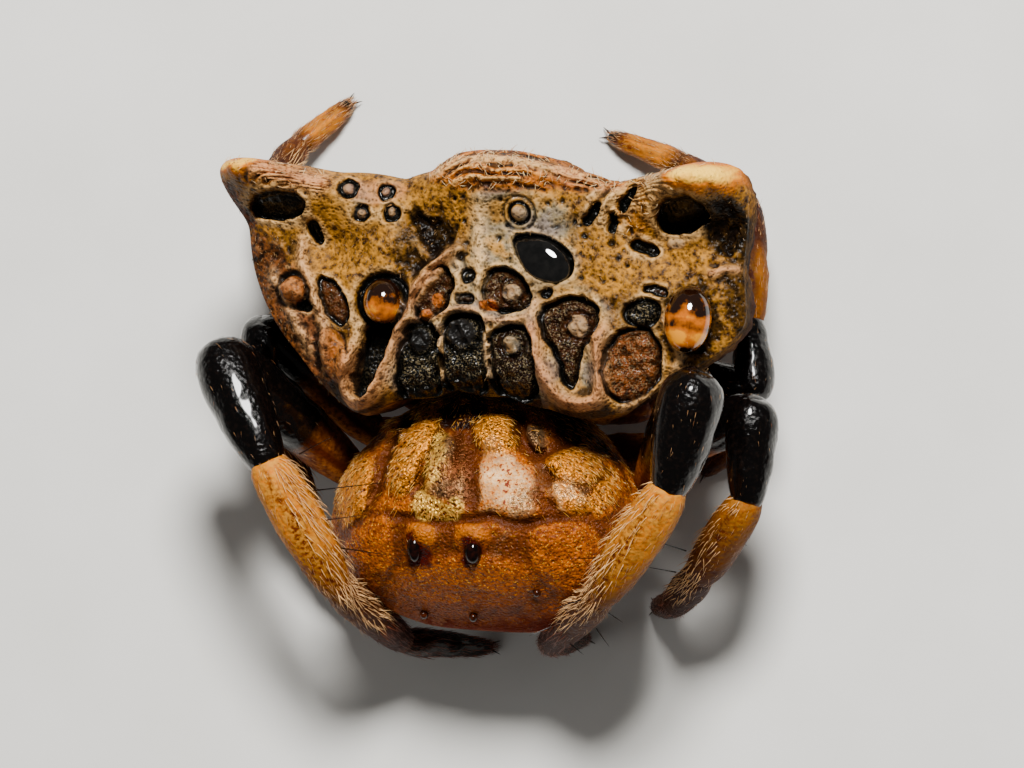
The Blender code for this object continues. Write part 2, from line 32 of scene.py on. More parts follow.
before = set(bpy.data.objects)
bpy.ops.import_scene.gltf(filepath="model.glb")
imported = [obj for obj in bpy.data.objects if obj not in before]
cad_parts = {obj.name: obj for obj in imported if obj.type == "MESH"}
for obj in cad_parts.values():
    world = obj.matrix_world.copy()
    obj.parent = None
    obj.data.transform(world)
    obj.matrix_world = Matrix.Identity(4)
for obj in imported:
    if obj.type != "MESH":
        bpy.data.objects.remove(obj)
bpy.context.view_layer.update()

layout = {
    "metre": 0.001,  # metres in a millimetre
    "middle": (-0.23, 0.78, 0.0),  # the solids stand about this point of the layout
    "sightToSide": 0.14,  # lean of the line of sight for each mm of height
    "sightToFront": 0.105,
    "sightLevel": 4.6,  # height at which the lean is nothing
    "midline": 0.08,
    "midPixel": (487, 400),  # pixel of the photograph over the layout's origin
    "mmPerPixel": 0.01507,
}


def leaned(pivot, lean, turn, shiftX=0.0):
    # Turn about the vertical after a lean about the long axis, both round the pivot.
    centre = Matrix.Translation(pivot)
    turned = Matrix.Rotation(np.radians(turn), 4, "Z") @ Matrix.Rotation(np.radians(lean), 4, "Y")
    return np.array(Matrix.Translation((shiftX, 0, 0)) @ centre @ turned @ centre.inverted())


def placed(matrix, points):
    # Matrix times each point.
    points = np.atleast_2d(points)
    return points @ matrix[:3, :3].T + matrix[:3, 3]


def fromSight(seen):
    # Right, up the view and height over the ground, turned into x, y and z of the layout.
    seen = np.atleast_2d(np.asarray(seen, float))
    rise = seen[:, 2] - layout["sightLevel"]
    return np.column_stack([
        seen[:, 0] - layout["midline"] + layout["sightToSide"] * rise,
        seen[:, 1] - layout["sightToFront"] * rise,
        seen[:, 2],
    ])


def fromPixel(pixels, height):
    # Pixel offsets from the middle pixel times mm per pixel, then down the line of sight.
    pixels = np.atleast_2d(np.asarray(pixels, float))
    right = (pixels[:, 0] - layout["midPixel"][0]) * layout["mmPerPixel"]
    up = (layout["midPixel"][1] - pixels[:, 1]) * layout["mmPerPixel"]
    return fromSight(np.column_stack([right, up, np.broadcast_to(height, right.shape)]))


# Shaping helpers


def hill(x, y, at, size, height):
    # Height times e to minus the squared distance in sizes.
    return height * np.exp(-(((x - at[0]) / size[0]) ** 2 + ((y - at[1]) / size[1]) ** 2))


def turnedShares(x, y, at, sizes, turn):
    # Offset from a place, turned by an angle in degrees, in shares of the half sizes.
    c, s = np.cos(np.radians(turn)), np.sin(np.radians(turn))
    along = ((x - at[0]) * c + (y - at[1]) * s) / sizes[0]
    across = ((y - at[1]) * c - (x - at[0]) * s) / sizes[1]
    return along, across


def smoothStep(value):
    # Three times the share squared less two times its cube, held between 0 and 1.
    share = np.clip(value, 0.0, 1.0)
    return share * share * (3.0 - 2.0 * share)


def unit(vectors):
    # Each vector divided by its length.
    return vectors / (np.linalg.norm(vectors, axis=-1, keepdims=True) + 1e-12)


def waves(points, size, seed, octaves=4):
    # Sum of sines over six random directions, each octave half as high and twice as fine.
    rng = np.random.default_rng(seed)
    total = np.zeros(len(points))
    for octave in range(octaves):
        for _ in range(6):
            direction = rng.normal(size=3)
            direction *= 2.0 ** octave * 2 * np.pi / size / np.linalg.norm(direction)
            total += np.sin(points @ direction + rng.uniform(0, 2 * np.pi)) * 0.5 ** octave / 3
    return total


def distanceTo(x, y, outline, radius=0.0):
    # Distance to a point, an open line of points, or outside a closed outline (less inside),
    # less the rounding radius.
    outline = np.atleast_2d(outline)
    if len(outline) == 1:
        return np.hypot(x - outline[0, 0], y - outline[0, 1]) - radius
    isClosed = len(outline) > 2
    nearest = np.full(x.shape, 1e9)
    inside = np.zeros(x.shape, bool)
    ends = np.roll(outline, -1, axis=0) if isClosed else outline[1:]
    for start, end in zip(outline, ends):
        run = end - start
        share = np.clip(((x - start[0]) * run[0] + (y - start[1]) * run[1]) / (run @ run), 0, 1)
        nearest = np.minimum(nearest, np.hypot(x - start[0] - share * run[0], y - start[1] - share * run[1]))
        if isClosed and abs(run[1]) > 1e-9:
            crosses = (start[1] > y) != (end[1] > y)
            inside ^= crosses & (x < start[0] + (y - start[1]) * run[0] / run[1])
    return np.where(inside, -nearest, nearest) - radius


def alongLine(x, y, line):
    # Distance to the nearest run of a line, and the share of its length there.
    line = np.atleast_2d(line)
    lengths = np.hypot(*np.diff(line, axis=0).T)
    starts = np.concatenate([[0], np.cumsum(lengths)])
    best = np.full(x.shape, 1e9)
    share = np.zeros(x.shape)
    for k, length in enumerate(lengths):
        run = (line[k + 1] - line[k]) / length
        step = np.clip((x - line[k, 0]) * run[0] + (y - line[k, 1]) * run[1], 0, length)
        gap = np.hypot(x - line[k, 0] - step * run[0], y - line[k, 1] - step * run[1])
        isNearer = gap < best
        best = np.where(isNearer, gap, best)
        share = np.where(isNearer, (starts[k] + step) / starts[-1], share)
    return best, share


def rounded(outline, rounds=2):
    # Corners of a closed outline cut at a quarter and three quarters of each side.
    outline = np.atleast_2d(np.asarray(outline, float))
    for _ in range(rounds if len(outline) > 2 else 0):
        onward = np.roll(outline, -1, axis=0)
        outline = np.stack([0.75 * outline + 0.25 * onward, 0.25 * outline + 0.75 * onward], axis=1)
        outline = outline.reshape(-1, 2)
    return outline


def roundedLine(line, rounds=2):
    # The same for an open line, whose ends stay.
    line = np.atleast_2d(np.asarray(line, float))
    for _ in range(rounds):
        cut = np.stack([0.75 * line[:-1] + 0.25 * line[1:], 0.25 * line[:-1] + 0.75 * line[1:]], axis=1)
        line = np.vstack([line[:1], cut.reshape(-1, line.shape[1]), line[-1:]])
    return line


# Mesh helpers


def ringFaces(rings, sides):
    # Quads between neighbouring rings of points, and a fan at each end pole.
    numbers = np.arange(rings * sides).reshape(rings, sides)
    onward = np.roll(numbers, -1, axis=1)
    quads = np.stack([numbers[:-1], onward[:-1], onward[1:], numbers[1:]], axis=-1).reshape(-1, 4)
    first, last = np.full(sides, rings * sides), np.full(sides, rings * sides + 1)
    return (quads.tolist() + np.column_stack([onward[0], numbers[0], first]).tolist()
            + np.column_stack([numbers[-1], onward[-1], last]).tolist())


def gridFaces(numbers):
    # Quads between neighbouring rows and columns of numbered points.
    return np.stack([numbers[:-1, :-1], numbers[:-1, 1:], numbers[1:, 1:], numbers[1:, :-1]],
                    axis=-1).reshape(-1, 4)


def gridBorder(numbers):
    # The numbers round the edge of a grid, in order.
    return np.concatenate([numbers[0, :-1], numbers[:-1, -1], numbers[-1, :0:-1], numbers[:0:-1, 0]])


def makePiece(name, points, faces, material, masks=None):
    # Puts layout points in mm into a mesh in metres about the solids' origin.
    mesh = bpy.data.meshes.new(name)
    world = (np.asarray(points) - layout["middle"]) * layout["metre"]
    mesh.from_pydata(world.tolist(), [], faces)
    mesh.update()
    for maskName, values in (masks or {}).items():
        layer = mesh.attributes.new(maskName, "FLOAT", "POINT")
        layer.data.foreach_set("value", np.asarray(values, np.float32))
    mesh.shade_smooth()
    mesh.materials.append(material)
    piece = bpy.data.objects.new(name, mesh)
    bpy.context.scene.collection.objects.link(piece)
    return piece


def facingOut(points, faces):
    # Faces turned round where the shape's signed volume is negative.
    points = np.asarray(points)
    corners = points[[face[:3] for face in faces]]
    volume = np.einsum("ij,ij->i", corners[:, 0], np.cross(corners[:, 1], corners[:, 2])).sum()
    return [face[::-1] for face in faces] if volume < 0 else faces


def dress(piece, slotName, *nodes):
    # The piece stands for these nodes and rides on the one body.
    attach(piece, "root")
    if nodes:
        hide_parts(*nodes)


# Material helpers


def tone(red, green, blue):
    # Screen colour in 0 to 255, turned into the linear colour that shaders take.
    screen = np.array([red, green, blue]) / 255
    linear = np.where(screen <= 0.04045, screen / 12.92, ((screen + 0.055) / 1.055) ** 2.4)
    return (*linear.tolist(), 1.0)


class Wiring:
    # Adds nodes to a material or a group and wires them, so each recipe reads as one line a step.

    def __init__(self, tree):
        self.tree = tree

    def node(self, kind, settings=None, **inputs):
        made = self.tree.nodes.new(kind)
        for key, value in (settings or {}).items():
            setattr(made, key, value)
        for key, value in inputs.items():
            self.feed(made, key.replace("_", " "), value)
        return made

    def feed(self, made, key, value):
        socket = made.inputs[int(key[2:])] if key.startswith("at") else made.inputs[key]
        if isinstance(value, bpy.types.NodeSocket):
            self.tree.links.new(value, socket)
        else:
            socket.default_value = value

    def mask(self, name):
        return self.node("ShaderNodeAttribute", {"attribute_name": name}).outputs["Fac"]

    def place(self):
        # Object coordinates in millimetres.
        spot = self.node("ShaderNodeTexCoord").outputs["Object"]
        scaled = self.node("ShaderNodeVectorMath", {"operation": "SCALE"}, Vector=spot)
        scaled.inputs["Scale"].default_value = 1 / layout["metre"]
        return scaled.outputs["Vector"]

    def noise(self, size, detail=4.0):
        made = self.node("ShaderNodeTexNoise", Vector=self.place(), Scale=1 / size, Detail=detail,
                         Roughness=0.55)
        return made.outputs["Fac"]

    def span(self, value, low, high, bottom=0.0, top=1.0):
        # Value moved from low..high to bottom..top and held there.
        made = self.node("ShaderNodeMapRange", {"clamp": True}, Value=value)
        for key, number in (("From Min", low), ("From Max", high), ("To Min", bottom), ("To Max", top)):
            made.inputs[key].default_value = number
        return made.outputs["Result"]

    def reckon(self, operation, first, second):
        return self.node("ShaderNodeMath", {"operation": operation}, at0=first, at1=second).outputs[0]

    def times(self, first, second):
        return self.reckon("MULTIPLY", first, second)

    def plus(self, first, second):
        return self.reckon("ADD", first, second)

    def larger(self, first, second):
        return self.reckon("MAXIMUM", first, second)

    def between(self, share, first, second):
        # Two numbers mixed by the share.
        return self.node("ShaderNodeMix", {"data_type": "FLOAT"}, at0=share, at2=first, at3=second).outputs[0]

    def blend(self, share, first, second):
        # Two colours mixed by the share.
        return self.node("ShaderNodeMix", {"data_type": "RGBA"}, at0=share, at6=first, at7=second).outputs[2]

    def bump(self, height, depth, strength=1.0):
        made = self.node("ShaderNodeBump", Height=height, Strength=strength,
                         Distance=depth * layout["metre"])
        return made.outputs["Normal"]

    def group(self, tree, **inputs):
        # A shared group placed in this material, on its Object coordinates in millimetres.
        made = self.node("ShaderNodeGroup", {"node_tree": tree}, Spot=self.place())
        for key, value in inputs.items():
            made.inputs[key.replace("_", " ")].default_value = value
        return made


def newGroup(name, inputs, outputs):
    # An empty shader group with a Spot vector, named numbers in and named numbers out.
    tree = bpy.data.node_groups.new(name, "ShaderNodeTree")
    tree.interface.new_socket(name="Spot", in_out="INPUT", socket_type="NodeSocketVector")
    for key, value in inputs.items():
        socket = tree.interface.new_socket(name=key, in_out="INPUT", socket_type="NodeSocketFloat")
        socket.default_value = value
    for key in outputs:
        tree.interface.new_socket(name=key, in_out="OUTPUT", socket_type="NodeSocketFloat")
    return tree, Wiring(tree), tree.nodes.new("NodeGroupInput"), tree.nodes.new("NodeGroupOutput")


def makeCuticleGrain():
    # Fine and broad noise with round pores between, and their height.
    tree, wire, entry, way = newGroup("cuticleGrain", {"Grain Size": 0.08, "Pore Size": 0.07},
                                      ("Fine", "Broad", "Pore", "Height"))
    fineScale = wire.reckon("DIVIDE", 1.0, entry.outputs["Grain Size"])
    poreScale = wire.reckon("DIVIDE", 1.0, entry.outputs["Pore Size"])
    spot = entry.outputs["Spot"]
    fineNoise = wire.node("ShaderNodeTexNoise", Vector=spot, Scale=fineScale, Detail=5.0, Roughness=0.62)
    broadNoise = wire.node("ShaderNodeTexNoise", Vector=spot, Scale=wire.times(fineScale, 0.16), Detail=4.0)
    poreCells = wire.node("ShaderNodeTexVoronoi", Vector=spot, Scale=poreScale)
    fine, broad, pore = fineNoise.outputs["Fac"], broadNoise.outputs["Fac"], poreCells.outputs["Distance"]
    height = wire.plus(wire.times(fine, 0.6), wire.span(pore, 0.0, 0.6, 0.0, 0.5))
    for key, value in (("Fine", fine), ("Broad", broad), ("Pore", pore), ("Height", height)):
        wire.feed(way, key, value)
    return tree


def makeSpeckle():
    # Noise cut off so that about the given share of the surface is covered by specks.
    tree, wire, entry, way = newGroup("speckle", {"Speck Size": 0.05, "Cover": 0.3}, ("Mask",))
    scale = wire.reckon("DIVIDE", 1.0, entry.outputs["Speck Size"])
    noise = wire.node("ShaderNodeTexNoise", Vector=entry.outputs["Spot"], Scale=scale, Detail=2.0)
    level = wire.reckon("SUBTRACT", 0.72, wire.times(entry.outputs["Cover"], 0.45))
    wire.feed(way, "Mask", wire.span(wire.reckon("SUBTRACT", noise.outputs["Fac"], level), 0.0, 0.05))
    return tree


cuticleGrain = makeCuticleGrain()
speckle = makeSpeckle()


def newMaterial(name, **values):
    # An empty material with its Principled shader, and the wiring for it.
    material = bpy.data.materials.new(name)
    material.use_nodes = True
    shader = material.node_tree.nodes["Principled BSDF"]
    for key, value in values.items():
        shader.inputs[key.replace("_", " ")].default_value = value
    return material, shader, Wiring(material.node_tree)


# Camera, light and floor

view = {
    "aimPixel": (512, 384),  # the photograph's own middle
    "aimHeight": 4.6,
    "distance": 150.0,
    "lens": 350.0,
    "nearest": 10.0,
    "lights": {  # place and size in mm, power, colour, and whether glossy surfaces mirror it
        "keyLight": ((12, 40, 77), 24, 0.19, (1.0, 0.98, 0.95), True),
        "fillLight": ((-55, -40, 50), 60, 0.009, (1.0, 1.0, 1.0), False),
        "rimLight": ((60, 20, 30), 40, 0.003, (1.0, 1.0, 1.0), False),
    },
    "lightAim": (0, 0, 3.0),
    "sky": (1.0, 0.97, 0.93, 1.0),
    "skyStrength": 0.1,
    "floorHalf": 400.0,
    "floorPaint": (tone(214, 213, 208), tone(222, 221, 217)),
    "floorGrain": 3.0,
}


def makeCamera():
    # Stands up the line of sight from the aim, with its right and up square to it.
    sight = Vector((layout["sightToSide"], -layout["sightToFront"], 1.0)).normalized()
    right = Vector((1.0, 0.0, -layout["sightToSide"])).normalized()
    turn = Matrix((right, sight.cross(right), sight)).transposed().to_4x4()
    aim = (fromPixel(view["aimPixel"], view["aimHeight"])[0] - layout["middle"]) * layout["metre"]
    camera = bpy.data.objects.new("camera", bpy.data.cameras.new("camera"))
    camera.data.lens = view["lens"]
    camera.data.clip_start = view["nearest"] * layout["metre"]
    camera.matrix_world = Matrix.Translation(Vector(aim) + sight * view["distance"] * layout["metre"]) @ turn
    bpy.context.scene.collection.objects.link(camera)
    bpy.context.scene.camera = camera


def areaLight(name, place, size, power, colour, isMirrored):
    lamp = bpy.data.lights.new(name, "AREA")
    lamp.shape = "DISK"
    lamp.size = size * layout["metre"]
    lamp.energy = power
    lamp.color = colour
    light = bpy.data.objects.new(name, lamp)
    spot = Vector(place) * layout["metre"]
    aim = (Vector(view["lightAim"]) * layout["metre"] - spot).to_track_quat("-Z", "Y")
    light.matrix_world = Matrix.Translation(spot) @ aim.to_matrix().to_4x4()
    light.visible_glossy = isMirrored
    bpy.context.scene.collection.objects.link(light)


def makeStudio():
    for name, row in view["lights"].items():
        areaLight(name, *row)
    world = bpy.data.worlds.new("studio")
    bpy.context.scene.world = world
    world.use_nodes = True
    sky = world.node_tree.nodes["Background"]
    sky.inputs["Color"].default_value = view["sky"]
    sky.inputs["Strength"].default_value = view["skyStrength"]
    half = view["floorHalf"]
    corners = np.array([(-half, -half, 0), (half, -half, 0), (half, half, 0), (-half, half, 0)])
    material, shader, wire = newMaterial("floorPaper", Roughness=0.85)
    grain = wire.noise(view["floorGrain"])
    wire.feed(shader, "Base Color", wire.blend(wire.span(grain, 0.3, 0.7), *view["floorPaint"]))
    makePiece("floor", corners, [(0, 1, 2, 3)], material)


makeCamera()
makeStudio()
print("camera and studio are up")

# Abdomen: a pitted shield with a horned corner at each side of its rear

shield = {
    "pivot": (0.0, 1.8, 4.4),
    "lean": -5.0,
    "turn": -2.0,
    "frontHeight": 4.35,
    "slope": 0.14,
    "centre": (0.0, 1.9),
    "belly": (0.0, 2.05, 0.75),
    "bellyShrink": 0.62,
    "rimRounding": 0.42,
    "columns": 376,
    "rows": 200,
    "bellyRings": 19,
    # Painted shade along the front edge, where it overhangs the carapace: reach and softness in mm, where it
    # lies and how sharp its ends are.
    "frontShade": {"reach": 0.36, "softness": 0.2, "behind": 1.2, "left": -1.62, "right": 0.8, "ends": 7},
    "hornDomes": (((238, 166), (0.55, 0.34), 0.7), ((706, 184), (0.72, 0.4), 0.72)),  # pixel, sizes, height
    "folds": {"width": 0.16, "height": 0.055},
    "halfPlan": (3.7, 2.0),
    "edgeDepth": 0.09,  # how far proud of its surroundings the lightest edge is
    # Waves that roughen it: height, size in mm, seed and octaves.
    "waves": {
        "skin": (0.022, 0.55, 3, 4), "zoneEdge": (0.04521, 0.35, 17, 3), "foldSway": (2.6, 0.9, 9, 3),
        "foldHeight": (0.5, 0.5, 37, 2), "flank": (0.05, 0.5, 13, 3), "hollow": (0.3, 0.3, 47, 3),
        "cellEdge": (0.018084, 0.3, 19, 2), "blister": (0.22, 0.2, 23, 3), "ridge": (0.12, 0.3, 29, 2),
        "belly": (0.06, 0.9, 11, 5),
    },
    "hills": (  # across and along the plan, sizes, height
        ((0.0, 3.35), (1.15, 0.42), 0.42), ((2.9, 3.15), (0.9, 0.45), 0.3),
        ((-2.9, 3.15), (0.9, 0.45), 0.3), ((1.75, -0.05), (0.5, 0.45), 0.18),
        ((-1.75, -0.05), (0.5, 0.45), 0.18), ((2.6, 2.35), (0.5, 0.4), -0.28),
        ((-2.6, 2.35), (0.5, 0.4), -0.28), ((0.0, 1.4), (1.3, 1.2), 0.12),
    ),
    "rimPixels": (
        (214, 158), (232, 149), (262, 154), (330, 165), (398, 173), (425, 165), (452, 147),
        (490, 145), (530, 150), (578, 168), (612, 181), (662, 172), (704, 163), (738, 168),
        (747, 196), (742, 235), (738, 270), (741, 325), (716, 352), (690, 366), (655, 384),
        (622, 409), (582, 418), (545, 407), (500, 393), (450, 386), (392, 394), (350, 410),
        (330, 396), (292, 352), (257, 300), (243, 260), (238, 215), (220, 186),
    ),
}
shield["place"] = leaned(shield["pivot"], shield["lean"], shield["turn"])


def shieldHeight(x, y):
    # Front height plus slope times y plus every hill.
    height = shield["frontHeight"] + shield["slope"] * y
    for at, size, rise in shield["hills"]:
        height = height + hill(x, y, at, size, rise)
    return height


def onShield(pixels):
    # Plan place on the shield under a pixel, found by stepping down the line of sight.
    height = layout["sightLevel"]
    for _ in range(4):
        world = fromPixel(pixels, height)
        plan = placed(np.linalg.inv(shield["place"]), world)
        plan[:, 2] = shieldHeight(plan[:, 0], plan[:, 1])
        height = placed(shield["place"], plan)[:, 2]
    return plan[:, :2]


rimPlan = onShield(shield["rimPixels"])


def rimReach(angle):
    # Distance from the shield's centre to its rim, from the rim points by their angle.
    offset = rimPlan - shield["centre"]
    at = np.arctan2(offset[:, 1], offset[:, 0])
    order = np.argsort(at)
    fine = np.linspace(-np.pi, np.pi, 1440, endpoint=False)
    sampled = np.interp(fine, at[order], np.hypot(*offset.T)[order], period=2 * np.pi)
    window = np.hanning(25)
    padded = np.concatenate([sampled[-12:], sampled, sampled[:12]])
    smooth = np.convolve(padded, window / window.sum(), mode="valid")
    return np.interp(angle, fine, smooth, period=2 * np.pi)


# Sunk cells: outline in pixels of the photograph, rounding in pixels, depth and blister
# in mm, and how black, sparkling and rusty the floor is.
cells = {
    "lens": (((509, 234), (536, 233), (560, 243), (574, 258), (572, 276), (556, 283), (538, 279), (520, 262)),
             1, 0.12, 0.0, 1.0, 0.0, 0.0),
    "teardrop": (((492, 266), (512, 270), (529, 290), (529, 306), (506, 311), (483, 306), (481, 284)),
                 2, 0.2, 0.15, 0.9, 0.55, 0.1),
    "heart": (((540, 308), (560, 298), (586, 297), (602, 314), (596, 334), (580, 352), (574, 392),
               (562, 384), (556, 356), (540, 336)), 1, 0.2, 0.15, 0.9, 0.6, 0.08),
    "frontMiddle": (((490, 327), (527, 325), (534, 350), (534, 399), (494, 396), (486, 356)), 2, 0.22, 0.15,
                    0.95, 0.55, 0.03),
    "orangeLeft": (((444, 262), (452, 280), (444, 306), (424, 318), (413, 310), (415, 294), (428, 272)),
                   2, 0.2, 0.12, 0.9, 0.35, 0.1),
    "pitUpper": (((466, 274),), 8, 0.12, 0.04, 0.9, 0.3, 0.0),
    "pitLower": (((458, 297), (469, 297)), 5, 0.1, 0.03, 0.85, 0.3, 0.05),
    "frontLeft": (((408, 322), (433, 320), (437, 350), (435, 398), (391, 398), (396, 350)), 2, 0.22, 0.15,
                  1.0, 0.6, 0.0),
    "frontInner": (((444, 314), (478, 312), (485, 332), (483, 397), (441, 397), (438, 340)), 2, 0.22, 0.17,
                   1.0, 0.6, 0.0),
    "slot": (((362, 312), (388, 316), (388, 345), (366, 390), (346, 396), (344, 374), (358, 346)), 1, 0.55,
             0.0, 1.0, 0.1, 0.0),
    "dot": (((547, 294),), 6, 0.1, 0.05, 0.9, 0.0, 0.0),
    "silverRight": (((622, 310), (640, 300), (656, 302), (660, 316), (648, 328), (628, 326)), 2, 0.14,
                    0.1, 0.9, 0.6, 0.0),
    "rustPit": (((648, 291), (662, 293)), 5, 0.12, 0.03, 0.7, 0.2, 0.3),
    "goldRight": (((616, 332), (646, 328), (660, 350), (655, 380), (632, 402), (606, 400), (601, 368)),
                  2, 0.2, 0.16, 0.75, 0.55, 0.36),
    "slitA": (((596, 206), (588, 220)), 5, 0.2, 0.0, 1.0, 0.0, 0.0),
    "slitB": (((613, 217), (611, 230)), 3.5, 0.18, 0.0, 1.0, 0.0, 0.0),
    "slitC": (((632, 189), (623, 208)), 5, 0.22, 0.0, 1.0, 0.0, 0.0),
    # The black of the two horn pits is painted shade under the horns.
    "hornPitLeft": (((242, 196), (262, 186), (290, 188), (300, 198), (296, 208), (268, 212), (250, 208)),
                    2, 0.3, 0.0, 1.0, 0.1, 0.0),
    "pitLeft": (((308, 220), (314, 232)), 6, 0.2, 0.06, 1.0, 0.3, 0.0),
    "hornPitRight": (((656, 214), (668, 202), (690, 201), (704, 210), (702, 226), (680, 234), (660, 230)),
                     2, 0.4, 0.0, 1.0, 0.0, 0.0),
    "pitRight": (((638, 246), (653, 252)), 6, 0.18, 0.04, 1.0, 0.3, 0.0),
    "flankPit": (((296, 300), (303, 302)), 5, 0.14, 0.03, 0.9, 0.2, 0.0),
    "flankDark": (((312, 272), (330, 276), (344, 300), (342, 322), (328, 318), (316, 298)), 2, 0.16, 0.06,
                  0.8, 0.2, 0.15),
    "sigilla1": (((344, 184),), 11, 0.1, 0.03, 1.0, 0.15, 0.0),
    "sigilla2": (((382, 187),), 9, 0.1, 0.03, 1.0, 0.15, 0.0),
    "sigilla3": (((359, 210),), 8.5, 0.07, 0.02, 0.8, 0.15, 0.0),
    "sigilla4": (((389, 209),), 9, 0.1, 0.03, 1.0, 0.15, 0.0),
}
# Soft hollows: middle, half sizes and turn in pixels and degrees, depth in mm, blackness.
hollows = {
    "blackField": ((434, 234), (36, 20), -42, 0.22, 1.0),
    "blackFieldLow": ((410, 258), (18, 14), -20, 0.1, 0.9),
    # The black of hornSide is painted shade under the right horn.
    "hornSide": ((722, 228), (24, 30), 10, 0.3, 1.0), "beadRight": ((688, 322), (31, 42), -6, 0.16, 0.95),
    "upperRight": ((572, 222), (16, 9), 20, 0.06, 0.5), "flank": ((274, 240), (20, 14), 0, 0.08, 0.4),
    "crest": ((500, 186), (44, 4), 3, 0.05, 0.4),
}
# Domes: middle, half sizes and turn in pixels and degrees, height in mm, share of rust,
# silver and black, which stand in cells or alone.
domes = {
    "ringCentre": ((519, 212), (8, 6), 0, 0.06, 0.0, 0.75, 0.1),
    "discA": ((511, 291), (10, 8), 0, 0.06, 0.0, 0.75, 0.0),
    "discHeart": ((578, 326), (10, 11), 0, 0.07, 0.0, 0.75, 0.0),
    "discFront": ((510, 344), (9, 9), 0, 0.06, 0.0, 0.35, 0.4),
    "discInner": ((460, 331), (15, 14), 0, 0.08, 0.0, 0.1, 0.85),
    "discLeft": ((418, 338), (12, 12), 0, 0.08, 0.0, 0.05, 0.85),
    "rustA": ((488, 304), (9, 6), 0, 0.06, 1.0, 0.0, 0.0),
    "rustLeft": ((436, 298), (6, 7), 20, 0.07, 0.9, 0.0, 0.0),
    "rustLow": ((424, 312), (7, 5), 10, 0.07, 0.8, 0.0, 0.0),
    "flankLump": ((287, 284), (13, 13), 0, 0.16, 0.55, 0.0, 0.0),
    "flankBoss": ((330, 352), (15, 28), 15, 0.22, 0.45, 0.0, 0.0),
    "dot1": ((344, 184), (5, 6), 0, 0.07, 0.0, 0.75, 0.1),
    "dot2": ((382, 187), (4, 5), 0, 0.07, 0.0, 0.7, 0.1),
    "dot3": ((359, 210), (5, 5), 0, 0.07, 0.0, 0.7, 0.1),
    "dot4": ((389, 208), (4, 5), 0, 0.07, 0.0, 0.7, 0.1),
    "spotRight": ((677, 246), (10, 5), 0, 0.05, 0.0, 0.5, 0.2),
}
# Rings sunk round them: middle, radius and width in pixels, depth in mm, blackness.
rings = {
    "ringGrey": ((519, 212), 10, 2.2, 0.08, 0.95), "ringGreyOuter": ((519, 212), 16, 2, 0.05, 0.6),
    "ringFlank": ((287, 285), 17, 4, 0.1, 0.75), "ringBeadLeft": ((381, 299), 25, 5, 0.2, 1.0),
    "ringHeart": ((578, 326), 14, 2.5, 0.05, 0.8),
    "ringTear": ((511, 291), 13, 2.2, 0.04, 0.8), "ringInner": ((460, 331), 19, 3, 0.06, 0.9),
    "ringLeft": ((418, 338), 16, 3, 0.06, 0.9), "ringMiddle": ((510, 344), 13, 2.5, 0.05, 0.9),
}
# Raised ridges: line in pixels, half width in pixels, height in mm, pinkness.
ridges = {
    "leftArch": (((458, 240), (440, 262), (420, 284), (408, 302), (401, 326), (390, 352), (376, 380),
                  (358, 402), (340, 400), (338, 384), (346, 362), (352, 336)), 8, 0.27, 0.6),
    "rightArch": (((532, 312), (536, 345), (544, 374), (556, 398), (580, 408), (600, 399), (603, 370),
                   (598, 345), (610, 322)), 8.5, 0.28, 0.7),
    "stem": (((482, 190), (478, 225), (480, 262), (480, 290)), 8, 0.08, 0.0),
    "stemLow": (((482, 290), (484, 330), (486, 384)), 4, 0.1, 0.1),
    "innerWall": (((440, 320), (438, 350), (438, 386)), 3, 0.1, 0.1),
    "rightEdge": (((658, 312), (672, 334), (680, 360), (660, 392), (612, 410)), 5, 0.14, 0.2),
    "middleLink": (((482, 318), (510, 320), (534, 316), (538, 296)), 4, 0.08, 0.4),
    "leftLink": (((402, 320), (440, 314), (456, 306), (480, 310)), 3.5, 0.07, 0.4),
    "tearLink": (((456, 258), (458, 284), (452, 306)), 3.5, 0.06, 0.0),
    "hornCrestLeft": (((226, 162), (256, 160), (290, 172), (326, 180)), 9, 0.14, 0.7),
    "hornShoulder": (((646, 190), (670, 182), (700, 180)), 12, 0.1, 0.0),
    "crestUpper": (((424, 172), (456, 156), (505, 156), (560, 170), (600, 184)), 6, 0.1, 0.1),
    "greenRidge": (((600, 226), (606, 204), (620, 188)), 4, 0.12, 0.0),
    "greenRidgeB": (((586, 200), (604, 184)), 4, 0.08, 0.1),
    "blackFieldEdge": (((462, 244), (440, 258), (418, 272)), 3.5, 0.08, 0.2),
    "flankRidge": (((300, 228), (296, 256), (308, 282), (324, 330), (318, 370)), 6, 0.1, 0.35),
    "flankRidgeB": (((262, 262), (290, 318), (306, 352)), 6, 0.08, 0.3),
    "whiteRidge": (((706, 277), (722, 270), (738, 270)), 4.5, 0.14, 0.6),
}
